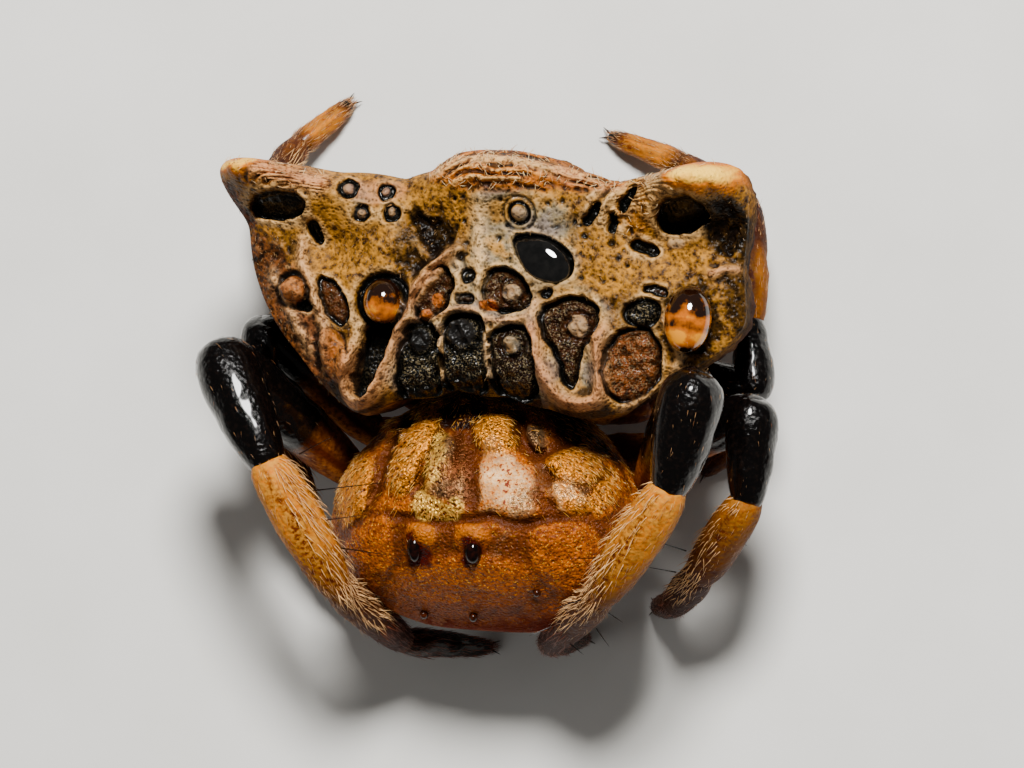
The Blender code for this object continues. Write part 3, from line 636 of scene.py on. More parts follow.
# Soft zones of colour: outline and softness in pixels, and the mask that they feed. The zones named for
# shade, and the one under the right horn, are painted shade.
zones = {
    "ashPanel": (((466, 186), (560, 190), (578, 236), (576, 290), (606, 300), (612, 330), (600, 410),
                  (390, 400), (380, 350), (440, 260), (470, 230)), 16, "ash", 1.0),
    "ashLeft": (((326, 176), (412, 178), (405, 222), (340, 222)), 16, "ash", 0.75),
    "crestZone": (((415, 160), (455, 135), (540, 138), (600, 168), (640, 182), (600, 190), (520, 186),
                   (440, 188)), 10, "amber", 1.0),
    "hornBrownLeft": (((214, 158), (262, 150), (330, 170), (320, 186), (250, 182)), 10, "amber", 0.6),
    "ochreLeft": (((325, 222), (395, 232), (385, 262), (352, 275), (300, 250), (250, 225)), 22, "ochre", 1.0),
    "ochreRight": (((576, 235), (650, 225), (662, 290), (620, 316), (586, 290)), 16, "ochre", 1.0),
    "hornBrownRight": (((616, 182), (668, 172), (690, 200), (640, 240), (610, 226)), 14, "amber", 0.4),
    "darkUpperRight": (((548, 214), (596, 226), (600, 244), (566, 240)), 10, "blackAndShade", 0.5),
    "darkLeftField": (((388, 230), (415, 212), (424, 262), (395, 272)), 10, "blackAndShade", 0.75),
    # Painted shade under the right horn.
    "hornShadowRight": (((704, 206), (745, 200), (752, 258), (716, 258), (700, 236)), 10, "blackAndShade", 1.0),
    "rightShade": (((716, 252), (752, 250), (750, 330), (722, 340)), 9, "blackAndShade", 0.9),
    "beadShadeLeft": (((352, 276), (396, 262), (410, 276), (404, 318), (360, 322)), 8, "blackAndShade", 0.9),
    "cellShadeRight": (((604, 296), (650, 296), (672, 330), (650, 340), (606, 330)), 10, "blackAndShade", 0.6),
    "pinkLeft": (((340, 172), (410, 178), (400, 200), (345, 200)), 10, "pink", 0.55),
    "pinkCrest": (((540, 160), (590, 176), (640, 186), (600, 196), (560, 184)), 8, "pink", 0.5),
    "flankShade": (((236, 206), (262, 226), (270, 262), (292, 300), (280, 320), (250, 280)),
                   22, "blackAndShade", 0.45),
    "flankShadeLow": (((300, 286), (346, 290), (350, 330), (330, 350), (306, 330)), 18, "blackAndShade", 0.5),
    "pinkFlank": (((250, 265), (275, 262), (330, 350), (345, 395), (320, 385)), 14, "pink", 0.3),
    # Partly the horns' own pale gold and partly painted light on the top of each horn's dome.
    "hornLitTopLeft": (((216, 158), (232, 149), (256, 150), (262, 160), (240, 168), (222, 168)), 16, "hornLitTop", 1.0),
    "hornLitTopRight": (((668, 176), (700, 164), (738, 168), (744, 186), (716, 194), (680, 190)), 26, "hornLitTop", 1.0),
    "hornFlankLeft": (((206, 168), (232, 176), (250, 210), (240, 222), (214, 200)), 8, "flank", 1.0),
    "leftFlank": (((232, 220), (262, 225), (290, 262), (318, 300), (340, 380), (300, 390), (240, 290)),
                  16, "flank", 0.85),
}
# Small pores scattered over a box of pixels: radii in pixels, depths in mm.
pores = {"seed": 5, "count": 90, "left": 452, "right": 640, "top": 188, "bottom": 330,
         "radii": (1.8, 4.2), "depths": (0.02, 0.07), "blackness": (0.3, 0.9)}


def gridBlur(values, reach):
    # Mean over a square of neighbours on a grid, along rows and then along columns.
    for axis in (0, 1):
        padded = np.pad(values, [(reach, reach) if k == axis else (0, 0) for k in (0, 1)], mode="edge")
        total = np.cumsum(padded, axis=axis)
        total = np.insert(total, 0, 0, axis=axis)
        size = values.shape[axis]
        high = np.take(total, np.arange(2 * reach + 1, 2 * reach + 1 + size), axis=axis)
        values = (high - np.take(total, np.arange(size), axis=axis)) / (2 * reach + 1)
    return values


def shieldWaves(points, name):
    height, size, seed, octaves = shield["waves"][name]
    return height * waves(points, size, seed, octaves)


def shieldRelief(x, y, inward):
    # Cells sink by a smooth wall round a blister, domes rise as half ellipsoids, rings sink
    # and ridges rise. Each also feeds the masks that colour it.
    pixel = layout["mmPerPixel"]
    flat = np.column_stack([x, y, x * 0])
    moved = {name: shieldWaves(flat, name) for name in shield["waves"] if name != "belly"}
    relief = moved["skin"]
    masks = {name: np.zeros_like(x) for name in (
        "pitAndShade", "sparkle", "rust", "silver", "ridge", "pink", "ash", "amber", "ochre", "blackAndShade", "hornLitTop",
        "flank")}
    for outline, softness, name, strength in zones.values():
        away = distanceTo(x, y, onShield(rounded(outline))) + moved["zoneEdge"]
        masks[name] = np.maximum(masks[name], strength * smoothStep(0.5 - away / (softness * pixel)))
    folds = np.sin(inward * 2 * np.pi / shield["folds"]["width"] + moved["foldSway"])
    relief = relief + shield["folds"]["height"] * masks["amber"] * folds * (0.7 + moved["foldHeight"])
    relief = relief + masks["flank"] * moved["flank"]
    for at, sizes, turn, depth, black in hollows.values():
        along, across = turnedShares(x, y, onShield(at)[0], np.multiply(sizes, pixel), turn)
        away = along ** 2 + across ** 2 + moved["hollow"]
        relief = relief - depth * np.exp(-np.maximum(away, 0))
        masks["blackAndShade"] = np.maximum(masks["blackAndShade"], black * smoothStep(1.5 - away))
    rng = np.random.default_rng(pores["seed"])
    for _ in range(pores["count"]):
        at = (rng.uniform(pores["left"], pores["right"]), rng.uniform(pores["top"], pores["bottom"]))
        radius, depth = rng.uniform(*pores["radii"]), rng.uniform(*pores["depths"])
        dip = hill(x, y, onShield(at)[0], (radius * pixel, radius * pixel), 1.0)
        relief = relief - depth * dip
        masks["pitAndShade"] = np.maximum(masks["pitAndShade"], dip * rng.uniform(*pores["blackness"]))
    for name, (outline, rounding, depth, blister, black, sparkle, rust) in cells.items():
        away = distanceTo(x, y, onShield(rounded(outline)), rounding * pixel)
        away = away + moved["cellEdge"] * (name != "lens")
        inside = smoothStep(0.5 - away / (4 * pixel))
        floor = smoothStep(-(away + 2 * pixel) / (6 * pixel))
        lip = np.exp(-((away - 2.5 * pixel) / (2.2 * pixel)) ** 2)
        relief = relief + blister * floor * (1 + moved["blister"]) - depth * inside + 0.015 * lip
        # The wall round each blister is painted full black, as shade in the cell.
        moat = inside * (1 - floor)
        masks["pitAndShade"] = np.maximum(masks["pitAndShade"] * (1 - inside), np.maximum(inside * black, moat))
        masks["rust"] = np.maximum(masks["rust"] * (1 - inside), floor * rust)
        masks["sparkle"] = np.maximum(masks["sparkle"] * (1 - inside), floor * sparkle)
        masks["ridge"] = np.maximum(masks["ridge"] * (1 - inside), 0.22 * lip)
        masks["blackAndShade"] = masks["blackAndShade"] * (1 - inside)
    for at, radius, width, depth, black in rings.values():
        spot = onShield(at)[0]
        away = np.abs(np.hypot(x - spot[0], y - spot[1]) - radius * pixel)
        inside = np.exp(-(away / (width * pixel)) ** 2)
        relief = relief - depth * inside
        masks["pitAndShade"] = np.maximum(masks["pitAndShade"], inside * black)
        masks["sparkle"] = masks["sparkle"] * (1 - inside)
    for line, halfWidth, height, pinkness in ridges.values():
        away, share = alongLine(x, y, onShield(roundedLine(line)))
        fade = smoothStep(share * 8 + 0.3) * smoothStep((1 - share) * 8 + 0.3)
        inside = np.exp(-(away / (halfWidth * pixel)) ** 2) * fade
        relief = relief + height * inside * (1 + moved["ridge"])
        for name in ("pitAndShade", "rust", "blackAndShade", "sparkle"):
            masks[name] = masks[name] * (1 - 0.85 * inside)
        masks["ridge"] = np.maximum(masks["ridge"], inside)
        masks["pink"] = np.maximum(masks["pink"], inside * pinkness)
    for at, halfSizes, turn, height, rust, silver, black in domes.values():
        distance = np.hypot(*turnedShares(x, y, onShield(at)[0], np.multiply(halfSizes, pixel), turn))
        relief = relief + height * np.sqrt(np.clip(1 - distance ** 2, 0, 1))
        inside = smoothStep((1.1 - distance) * 4)
        for name, level in (("pitAndShade", black), ("rust", rust), ("silver", silver), ("sparkle", 0.0)):
            masks[name] = masks[name] * (1 - inside) + inside * level
    # Painted shade along the front edge: the pit mask is blackened there, with no sinking.
    pitAndShade = shield["frontShade"]
    front = smoothStep((pitAndShade["reach"] - inward) / pitAndShade["softness"]) * (y < pitAndShade["behind"])
    front = front * smoothStep((x - pitAndShade["left"]) * pitAndShade["ends"]) * smoothStep((pitAndShade["right"] - x) * pitAndShade["ends"])
    for name in ("ridge", "sparkle", "silver", "rust"):
        masks[name] = masks[name] * (1 - front)
    masks["pitAndShade"] = np.maximum(masks["pitAndShade"], front)
    masks["hornLitTop"] = masks["hornLitTop"] * (1 - 0.9 * masks["blackAndShade"])
    return relief, masks


def hornRise(x, y):
    # A blunt dome at each rear corner.
    return sum(hill(x, y, onShield(at)[0], sizes, height) for at, sizes, height in shield["hornDomes"])


def shieldPoints():
    # Grid of rays scaled from the centre to the rim for the upper face, then rings that
    # draw in to the belly: cosine of the share for their spread, sine for their fall.
    columns, rows, centre, belly = (shield[key] for key in ("columns", "rows", "centre", "belly"))
    s, t = np.meshgrid(np.linspace(-1, 1, columns), np.linspace(-1, 1, rows))
    top = np.maximum(np.abs(s), np.abs(t)).ravel()
    angle = np.arctan2(t.ravel() * shield["halfPlan"][1], s.ravel() * shield["halfPlan"][0])
    grid = np.arange(columns * rows).reshape(rows, columns)
    border = gridBorder(grid)
    reach = rimReach(angle)
    x = centre[0] + np.cos(angle) * reach * top
    y = centre[1] + np.sin(angle) * reach * top
    relief, masks = shieldRelief(x, y, (1 - top) * reach)
    relief = relief * smoothStep((1 - top) * 12 + 0.15)
    proud = relief.reshape(rows, columns)
    proud = (proud - gridBlur(gridBlur(proud, 4), 4)).ravel()
    masks["edge"] = np.clip(0.5 + proud / shield["edgeDepth"], 0, 1)
    z = shieldHeight(x, y) + hornRise(x, y) - shield["rimRounding"] * top ** 7 + relief
    upper = np.column_stack([x, y, z])
    share = np.linspace(0, 1, shield["bellyRings"] + 1)[1:-1, None] * np.pi / 2
    rim = upper[border]
    fall = np.sin(share)
    spread = np.cos(share) ** shield["bellyShrink"]
    lowX = rim[:, 0] * spread
    lowY = centre[1] + (belly[1] - centre[1]) * fall + (rim[:, 1] - centre[1]) * spread
    lowZ = rim[:, 2] + (belly[2] - rim[:, 2]) * fall
    lower = np.column_stack([lowX.ravel(), lowY.ravel(), lowZ.ravel()])
    folds = shieldWaves(lower * (1, 1, 1.8), "belly") * np.repeat(smoothStep(share[:, 0] * 4), len(border))
    outward = np.column_stack([lower[:, 0], lower[:, 1] - belly[1], lower[:, 2] * 0])
    outward /= np.linalg.norm(outward, axis=1)[:, None] + 0.3
    points = np.vstack([upper, lower + outward * folds[:, None], [belly]])
    under = np.repeat(smoothStep(share[:, 0] * 3), len(border))
    under = np.concatenate([np.zeros(len(upper)), under, [1.0]])
    ringCount = shield["bellyRings"] - 1
    for name, values in masks.items():
        kept = np.tile(values[border], ringCount)
        masks[name] = np.concatenate([values, kept, [0.5]]) * (1 - under) + under * 0.5 * (name == "edge")
    masks["under"] = under
    masks["edge"][len(upper):-1] = np.clip(0.5 + folds * 5, 0, 1)
    loops = np.vstack([border, len(upper) + np.arange(ringCount * len(border)).reshape(ringCount, -1)])
    onward = np.roll(loops, -1, axis=1)
    sides = np.stack([loops[:-1], loops[1:], onward[1:], onward[:-1]], axis=-1).reshape(-1, 4)
    fan = np.column_stack([loops[-1], np.full(len(border), len(points) - 1), onward[-1]])
    faces = gridFaces(grid).tolist() + sides.tolist() + fan.tolist()
    return placed(shield["place"], points), facingOut(points, faces), masks


# The pit and crease colours also paint shade, the wax colours partly light on the horn tops, and the sparkle
# colour painted glints.
shieldPaint = {
    "ochre": tone(172, 116, 34), "ochreDark": tone(48, 27, 8),
    "ash": tone(146, 128, 92), "ashDark": tone(46, 38, 28),
    "ridge": tone(212, 170, 112), "pink": tone(184, 112, 72), "creaseAndShade": tone(12, 7, 5),
    "amber": tone(190, 104, 18), "amberPale": tone(230, 162, 66), "amberDark": tone(72, 32, 8),
    "hornLitTop": tone(252, 198, 66), "hornLitTopEdge": tone(190, 102, 0),
    "flank": tone(116, 58, 26), "flankDark": tone(24, 11, 6),
    "pitAndShade": tone(5, 5, 4), "sparkle": tone(150, 132, 96), "rust": tone(160, 84, 26),
    "rustDark": tone(48, 20, 9), "silver": tone(92, 86, 84), "under": tone(64, 26, 6),
    "ashGold": tone(172, 122, 52), "ashViolet": tone(112, 100, 96), "horn": tone(146, 82, 10),
}


def shieldMaterial():
    material, shader, wire = newMaterial("shieldCuticle", IOR=1.2, Coat_Roughness=0.1, Coat_IOR=1.4)
    paint = shieldPaint
    grain = wire.group(cuticleGrain, Grain_Size=0.11, Pore_Size=0.065)
    fine, broad, pore = grain.outputs["Fine"], grain.outputs["Broad"], grain.outputs["Pore"]
    ochre = wire.blend(wire.span(fine, 0.36, 0.6), paint["ochreDark"], paint["ochre"])
    tint = wire.group(cuticleGrain, Grain_Size=0.09, Pore_Size=0.2).outputs["Broad"]
    ash = wire.blend(wire.span(tint, 0.48, 0.58), paint["ash"], paint["ashGold"])
    ash = wire.blend(wire.span(tint, 0.42, 0.5, 0.8, 0.0), ash, paint["ashViolet"])
    ash = wire.blend(wire.span(fine, 0.33, 0.52, 0.85, 0.0), ash, paint["ashDark"])
    colour = wire.blend(wire.mask("ash"), ochre, ash)
    amber = wire.blend(wire.span(fine, 0.38, 0.56), paint["amberDark"], paint["amber"])
    amber = wire.blend(wire.times(wire.span(wire.mask("edge"), 0.5, 0.9), wire.span(fine, 0.4, 0.6)),
                       amber, paint["amberPale"])
    colour = wire.blend(wire.mask("amber"), colour, amber)
    flank = wire.blend(wire.span(fine, 0.4, 0.6), paint["flankDark"], paint["flank"])
    colour = wire.blend(wire.mask("flank"), colour, flank)
    colour = wire.blend(wire.times(wire.mask("pink"), wire.span(fine, 0.35, 0.55, 0.2, 0.9)),
                        colour, paint["pink"])
    ridge = wire.blend(wire.mask("pink"), paint["ridge"], paint["pink"])
    raised = wire.larger(wire.mask("ridge"), wire.span(wire.mask("edge"), 0.6, 1.0, 0.0, 0.7))
    ridgeShare = wire.times(raised, wire.span(fine, 0.38, 0.54, 0.1, 0.95))
    colour = wire.blend(ridgeShare, colour, ridge)
    colour = wire.blend(wire.span(pore, 0.1, 0.42, 0.75, 0.0), colour, paint["creaseAndShade"])
    colour = wire.blend(wire.span(broad, 0.5, 0.72, 0.0, 0.5), colour, paint["flankDark"])
    under = wire.blend(wire.span(broad, 0.35, 0.65), paint["flankDark"], paint["under"])
    colour = wire.blend(wire.mask("under"), colour, under)
    # Black zones: partly the shield's own black and partly painted shade.
    blackAndShadeShare = wire.times(wire.mask("blackAndShade"), wire.span(fine, 0.35, 0.7, 1.0, 0.88))
    colour = wire.blend(blackAndShadeShare, colour, paint["pitAndShade"])
    # Places sunk below their surroundings are painted dark as shade.
    colour = wire.blend(wire.span(wire.mask("edge"), 0.12, 0.46, 0.9, 0.0), colour, paint["creaseAndShade"])
    # The horn tops: partly their own pale gold and partly painted light, brightest where the mask is highest.
    hornLitTopLevel = wire.times(wire.mask("hornLitTop"), wire.span(broad, 0.3, 0.7, 0.8, 1.2))
    hornLitTop = wire.blend(wire.span(hornLitTopLevel, 0.25, 0.6), paint["horn"], paint["hornLitTopEdge"])
    hornLitTop = wire.blend(wire.span(hornLitTopLevel, 0.55, 1.0), hornLitTop, paint["hornLitTop"])
    colour = wire.blend(wire.span(hornLitTopLevel, 0.02, 0.35), colour, hornLitTop)
    # Black of the pits, with painted shade along the front edge, under the horns and in the cell walls.
    colour = wire.blend(wire.span(wire.mask("pitAndShade"), 0.15, 0.7), colour, paint["pitAndShade"])
    rust = wire.blend(wire.span(fine, 0.36, 0.58), paint["rustDark"], paint["rust"])
    colour = wire.blend(wire.span(wire.mask("rust"), 0.0, 0.8), colour, rust)
    # Light specks on the sparkling cell floors: painted glints.
    glintFleck = wire.group(speckle, Speck_Size=0.032, Cover=0.4).outputs["Mask"]
    colour = wire.blend(wire.times(wire.mask("sparkle"), wire.times(glintFleck, 0.7)), colour, paint["sparkle"])
    colour = wire.blend(wire.times(wire.mask("silver"), wire.span(fine, 0.3, 0.56, 0.3, 0.75)),
                        colour, paint["silver"])
    wire.feed(shader, "Base Color", colour)
    dull = wire.span(fine, 0.34, 0.66, 0.42, 0.66)
    wet = wire.larger(wire.mask("pitAndShade"), wire.mask("blackAndShade"))
    wet = wire.larger(wet, wire.times(wire.mask("rust"), 0.8))
    rough = wire.between(wet, dull, 0.25)
    rough = wire.between(wire.span(wire.mask("under"), 0.0, 0.1), rough, 0.95)
    wire.feed(shader, "Roughness", rough)
    wire.feed(shader, "Coat Weight", wire.times(wire.mask("pitAndShade"), wire.span(fine, 0.4, 0.6, 0.1, 0.6)))
    beading = wire.group(cuticleGrain, Grain_Size=0.035, Pore_Size=0.04).outputs["Height"]
    beading = wire.times(wire.span(wire.mask("sparkle"), 0.0, 0.6, 0.0, 1.6), beading)
    granules = wire.plus(grain.outputs["Height"], beading)
    wire.feed(shader, "Normal", wire.bump(granules, 0.03, 1.0))
    return material


def makeShield():
    points, faces, masks = shieldPoints()
    skin = makePiece("abdomenSkin", points, faces, shieldSkin, masks)
    dress(skin, "abdomen_cuticle", "abdomen")
    return points, faces, masks


shieldSkin = shieldMaterial()
shieldShape = makeShield()
print("abdomen is dressed")

# Carapace: lobes and grooves over sections that follow the stations

carapace = {
    "place": leaned((0.0, -1.3, 2.3), -8.0, -5.0, -0.3),
    "stations": (  # distance along, half width, top and underside
        (0.85, 0.3, 2.5, 1.95), (0.55, 0.8, 2.85, 1.5), (0.1, 1.4, 3.3, 1.15), (-0.5, 2.0, 3.75, 0.95),
        (-1.2, 2.4, 4.0, 0.85), (-1.9, 2.52, 4.02, 0.9), (-2.5, 2.42, 3.7, 1.1),
        (-3.0, 2.05, 3.15, 1.45), (-3.3, 1.4, 2.7, 1.85),
    ),
    "rings": 280,
    "sides": 340,
    "pedicel": ((-0.1, 0.3, 2.2), (0.05, 1.6, 2.25), 0.32),
    "smoothing": 81,  # samples of 600 along the stations
    "endFullness": 0.35,
    "topShare": 0.22,  # how much closer together the points lie over the top
    "edgeDepth": 0.06,
    "coat": {"seed": 61, "count": 7600, "eyes": ((413, 550), (473, 552)), "eyeClear": 13,
             "lengths": (0.09, 0.2), "widths": (0.004, 0.008), "faceRow": 505},
}
# Lobes: middle, half sizes and turn in pixels and degrees, height in mm.
lobes = {
    "outerLeft": ((352, 486), (17, 42), 14, 0.12), "rearLeftTop": ((393, 425), (14, 12), 20, 0.14),
    "rearLeft": ((409, 455), (17, 44), 24, 0.17), "blockLeft": ((432, 462), (9, 36), 8, 0.14),
    "blockRight": ((449, 474), (13, 42), -2, 0.14), "rearRight": ((497, 434), (25, 22), 20, 0.16),
    "pearlHighlight": ((505, 482), (42, 38), -30, 0.07), "pearlLow": ((518, 506), (26, 13), 20, 0.1),
    "greyPatch": ((536, 440), (11, 16), -35, 0.16),
    "sideRight": ((574, 466), (36, 21), 28, 0.18), "sideRightLow": ((570, 500), (32, 16), 25, 0.14),
    "sideFar": ((606, 500), (16, 24), 20, 0.12), "eyeLeft": ((418, 541), (17, 19), 10, 0.12),
    "eyeRight": ((471, 541), (16, 18), -10, 0.12), "face": ((462, 585), (96, 34), 0, 0.1),
    "cheekLeft": ((368, 560), (30, 44), 12, 0.1), "cheekRight": ((566, 556), (40, 44), -12, 0.1),
}
# Grooves: line in pixels, half width in pixels, depth in mm.
grooves = {
    "centreLeft": (((450, 404), (446, 424), (436, 440), (424, 470), (414, 498)), 4, 0.12),
    "centreMiddle": (((455, 420), (457, 450), (452, 484), (450, 512)), 3.5, 0.16),
    "centreRight": (((466, 418), (470, 446), (474, 478), (474, 514)), 3.5, 0.12),
    "right": (((515, 404), (519, 426), (526, 446), (536, 458), (552, 452), (580, 444)), 6, 0.16),
    "brow": (((380, 508), (400, 519), (416, 516), (440, 524), (456, 518), (470, 522), (488, 514),
              (500, 520), (520, 528), (546, 520), (580, 522)), 3.5, 0.1),
    "outer": (((420, 412), (400, 424), (386, 446), (376, 478), (366, 506)), 4, 0.14),
    "farRight": (((590, 441), (606, 452), (624, 470), (636, 500)), 4, 0.12),
    "highlightRight": (((540, 464), (552, 486), (556, 512)), 4, 0.08),
    "centrePit": (((452, 404), (453, 418)), 9, 0.12),
}
# Soft zones of colour: outline and softness in pixels, mask and strength. The pale pink zones over the middle
# are a painted highlight, and the dark band at the rear is painted shadow under the abdomen's edge.
carapaceZones = {
    "goldLeft": (((388, 412), (432, 405), (444, 424), (424, 480), (398, 500), (380, 480)), 10, "gold", 1.0),
    "goldRight": (((470, 412), (512, 408), (524, 440), (506, 458), (478, 452)), 10, "gold", 1.0),
    "goldSide": (((541, 452), (590, 446), (622, 480), (612, 516), (560, 516)), 14, "gold", 0.8),
    "goldEdge": (((330, 460), (360, 448), (376, 470), (362, 520), (334, 530)), 12, "gold", 0.7),
    "crustBand": (((410, 494), (428, 492), (440, 504), (458, 496), (464, 514), (438, 520), (414, 518)),
                  6, "crust", 1.0),
    "crustRidge": (((436, 434), (447, 432), (444, 470), (430, 492), (422, 488)), 6, "crust", 0.65),
    "greyBlock": (((436, 432), (464, 436), (472, 480), (468, 508), (440, 500), (424, 496), (432, 462)),
                  12, "ash", 0.9),
    "greyPearl": (((512, 492), (540, 486), (540, 516), (514, 524)), 12, "ash", 0.6),
    "highlightPatch": (((474, 470), (496, 456), (526, 462), (544, 482), (540, 512), (524, 526), (500, 518),
                    (484, 508), (474, 494)), 30, "pearlHighlight", 1.0),
    "highlightRight": (((526, 456), (556, 462), (590, 480), (598, 506), (560, 512), (535, 510)),
                   24, "pearlHighlight", 0.6),
    "highlightUpper": (((478, 440), (500, 436), (512, 460), (478, 466)), 10, "pearlHighlight", 0.5),
    "greyRight": (((521, 420), (545, 426), (552, 452), (530, 456)), 9, "ash", 1.0),
    "darkCentre": (((430, 400), (492, 398), (482, 420), (462, 432), (440, 430)), 7, "dark", 0.95),
    "darkRight": (((546, 405), (640, 400), (642, 480), (610, 456), (560, 440)), 10, "dark", 1.0),
    # Painted shadow cast by the abdomen's front edge over the rear of the carapace.
    "shadowUnderAbdomen": (((320, 380), (650, 380), (650, 412), (560, 414), (500, 402), (420, 402), (384, 412),
                  (340, 450), (320, 450)), 8, "dark", 1.0),
    "redFace": (((330, 596), (420, 610), (540, 610), (610, 590), (630, 650), (330, 650)), 60, "low", 0.6),
    "darkLow": (((360, 620), (420, 622), (540, 624), (620, 600), (620, 670), (360, 670)), 18, "low", 1.0),
    "moundLeft": (((404, 522), (436, 522), (436, 546), (406, 548)), 10, "mound", 1.0),
    "moundRight": (((457, 522), (486, 522), (486, 548), (458, 546)), 10, "mound", 1.0),
    "smearLeft": (((402, 534), (416, 534), (436, 558), (428, 572), (410, 568)), 8, "eyeRim", 1.0),
    "smearRight": (((461, 538), (482, 536), (486, 556), (472, 570), (458, 560)), 8, "eyeRim", 1.0),
}


def seenPixel(points):
    # Pixel of the photograph that lies over each point, up the line of sight.
    rise = points[:, 2] - layout["sightLevel"]
    right = points[:, 0] + layout["midline"] - layout["sightToSide"] * rise
    up = points[:, 1] + layout["sightToFront"] * rise
    return (layout["midPixel"][0] + right / layout["mmPerPixel"],
            layout["midPixel"][1] - up / layout["mmPerPixel"])


def carapaceShape():
    # Sections follow smoothed stations; a point goes half the width by the cosine of its
    # angle and half the height by the sine, drawn in to a pole at each end.
    stations = np.array(carapace["stations"])
    share = np.linspace(0, 1, 600)
    spread = 0.5 - 0.5 * np.cos(np.pi * share)
    window = np.hanning(carapace["smoothing"])
    window /= window.sum()
    steps = np.linspace(0, 1, len(stations))
    curves = []
    for column in stations.T:
        padded = np.pad(np.interp(spread, steps, column), carapace["smoothing"] // 2, mode="edge")
        curves.append(np.convolve(padded, window, "valid"))
    along = np.linspace(0, 1, carapace["rings"] + 2)[1:-1]
    y, half, top, under = (np.interp(along, share, curve)[:, None] for curve in curves)
    ends = np.sin(np.pi * along)[:, None] ** carapace["endFullness"]
    angle = np.linspace(0, 2 * np.pi, carapace["sides"], endpoint=False)[None]
    angle = angle - carapace["topShare"] * np.sin(2 * angle)
    x = half * np.cos(angle) * ends
    z = (top + under) / 2 + (top - under) / 2 * np.sin(angle) * ends
    body = np.column_stack([x.ravel(), np.broadcast_to(y, x.shape).ravel(), z.ravel()])
    poles = [(0, curves[0][0], (curves[2][0] + curves[3][0]) / 2),
             (0, curves[0][-1], (curves[2][-1] + curves[3][-1]) / 2)]
    upper = np.concatenate([np.broadcast_to(np.sin(angle), x.shape).ravel(), [0, 0]])
    unwrap = np.column_stack([np.broadcast_to(np.mod(angle / (2 * np.pi), 1), x.shape).ravel(),
                              np.broadcast_to(along[:, None], x.shape).ravel()])
    return placed(carapace["place"], np.vstack([body, poles])), upper, unwrap


def carapacePoints():
    # Lobes rise by a smooth step of the distance inside them, grooves sink by a bell curve and
    # fine waves roughen all.
    points, upper, unwrap = carapaceShape()
    px, py = seenPixel(points)
    isUpper = smoothStep(upper * 3)
    rough = waves(points, 0.3, 41, 3)
    lift = np.zeros(len(points))
    for at, sizes, turn, height in lobes.values():
        along, across = (share + 0.05 * rough for share in turnedShares(px, py, at, sizes, turn))
        lift = np.maximum(lift, height * smoothStep(1.15 - along ** 2 - across ** 2) ** 0.8)
    furrow = np.zeros(len(points))
    for line, halfWidth, depth in grooves.values():
        away, share = alongLine(px, py, roundedLine(line))
        fade = smoothStep(share * 6 + 0.2) * smoothStep((1 - share) * 6 + 0.2) * isUpper
        lift -= depth * np.exp(-((away + 0.6 * rough) / halfWidth) ** 2) * fade
        furrow = np.maximum(furrow, fade * np.exp(-((away + 2 * rough) / (1.3 * halfWidth)) ** 2))
    lift = gridBlur(lift[:-2].reshape(carapace["rings"], carapace["sides"]), 1).ravel()
    lift = np.concatenate([lift, [0, 0]])
    grid = lift[:-2].reshape(carapace["rings"], carapace["sides"])
    proud = (grid - gridBlur(gridBlur(grid, 6), 6)).ravel()
    edge = np.clip(0.5 + proud / carapace["edgeDepth"], 0, 1)
    lift += 0.012 * waves(points, 0.45, 21, 3) + 0.007 * waves(points, 0.12, 43, 2)
    masks = {name: np.zeros(len(points)) for name in
             ("gold", "crust", "pearlHighlight", "ash", "dark", "low", "mound", "eyeRim")}
    for outline, softness, name, strength in carapaceZones.values():
        away = distanceTo(px, py, rounded(outline)) + 3 * rough
        masks[name] = np.maximum(masks[name], strength * isUpper * smoothStep(0.5 - away / softness))
    masks["under"] = smoothStep(-upper * 3)
    masks["furrow"] = furrow
    masks["edge"] = np.concatenate([edge, [0.5, 0.5]])
    points = points + np.array(carapace["place"])[:3, 2] * (lift * isUpper)[:, None]
    faces = facingOut(points, ringFaces(carapace["rings"], carapace["sides"]))
    return points, faces, masks, unwrap


# The pearl colour paints a highlight, the dark colour is partly painted shadow, and the fleck colour paints
# glints.
carapacePaint = {
    "base": tone(176, 88, 0), "baseDark": tone(88, 34, 0), "gold": tone(214, 132, 22),
    "goldDark": tone(66, 26, 2), "crust": tone(250, 196, 84), "pearlHighlight": tone(244, 200, 146),
    "ash": tone(128, 98, 66), "ashDark": tone(46, 26, 16),
    "pearlSpeck": tone(112, 40, 26), "dark": tone(14, 4, 2), "low": tone(84, 16, 0),
    "mound": tone(176, 98, 0), "eyeRim": tone(58, 6, 0), "under": tone(60, 22, 2),
    "glintFleck": tone(236, 168, 52),
}


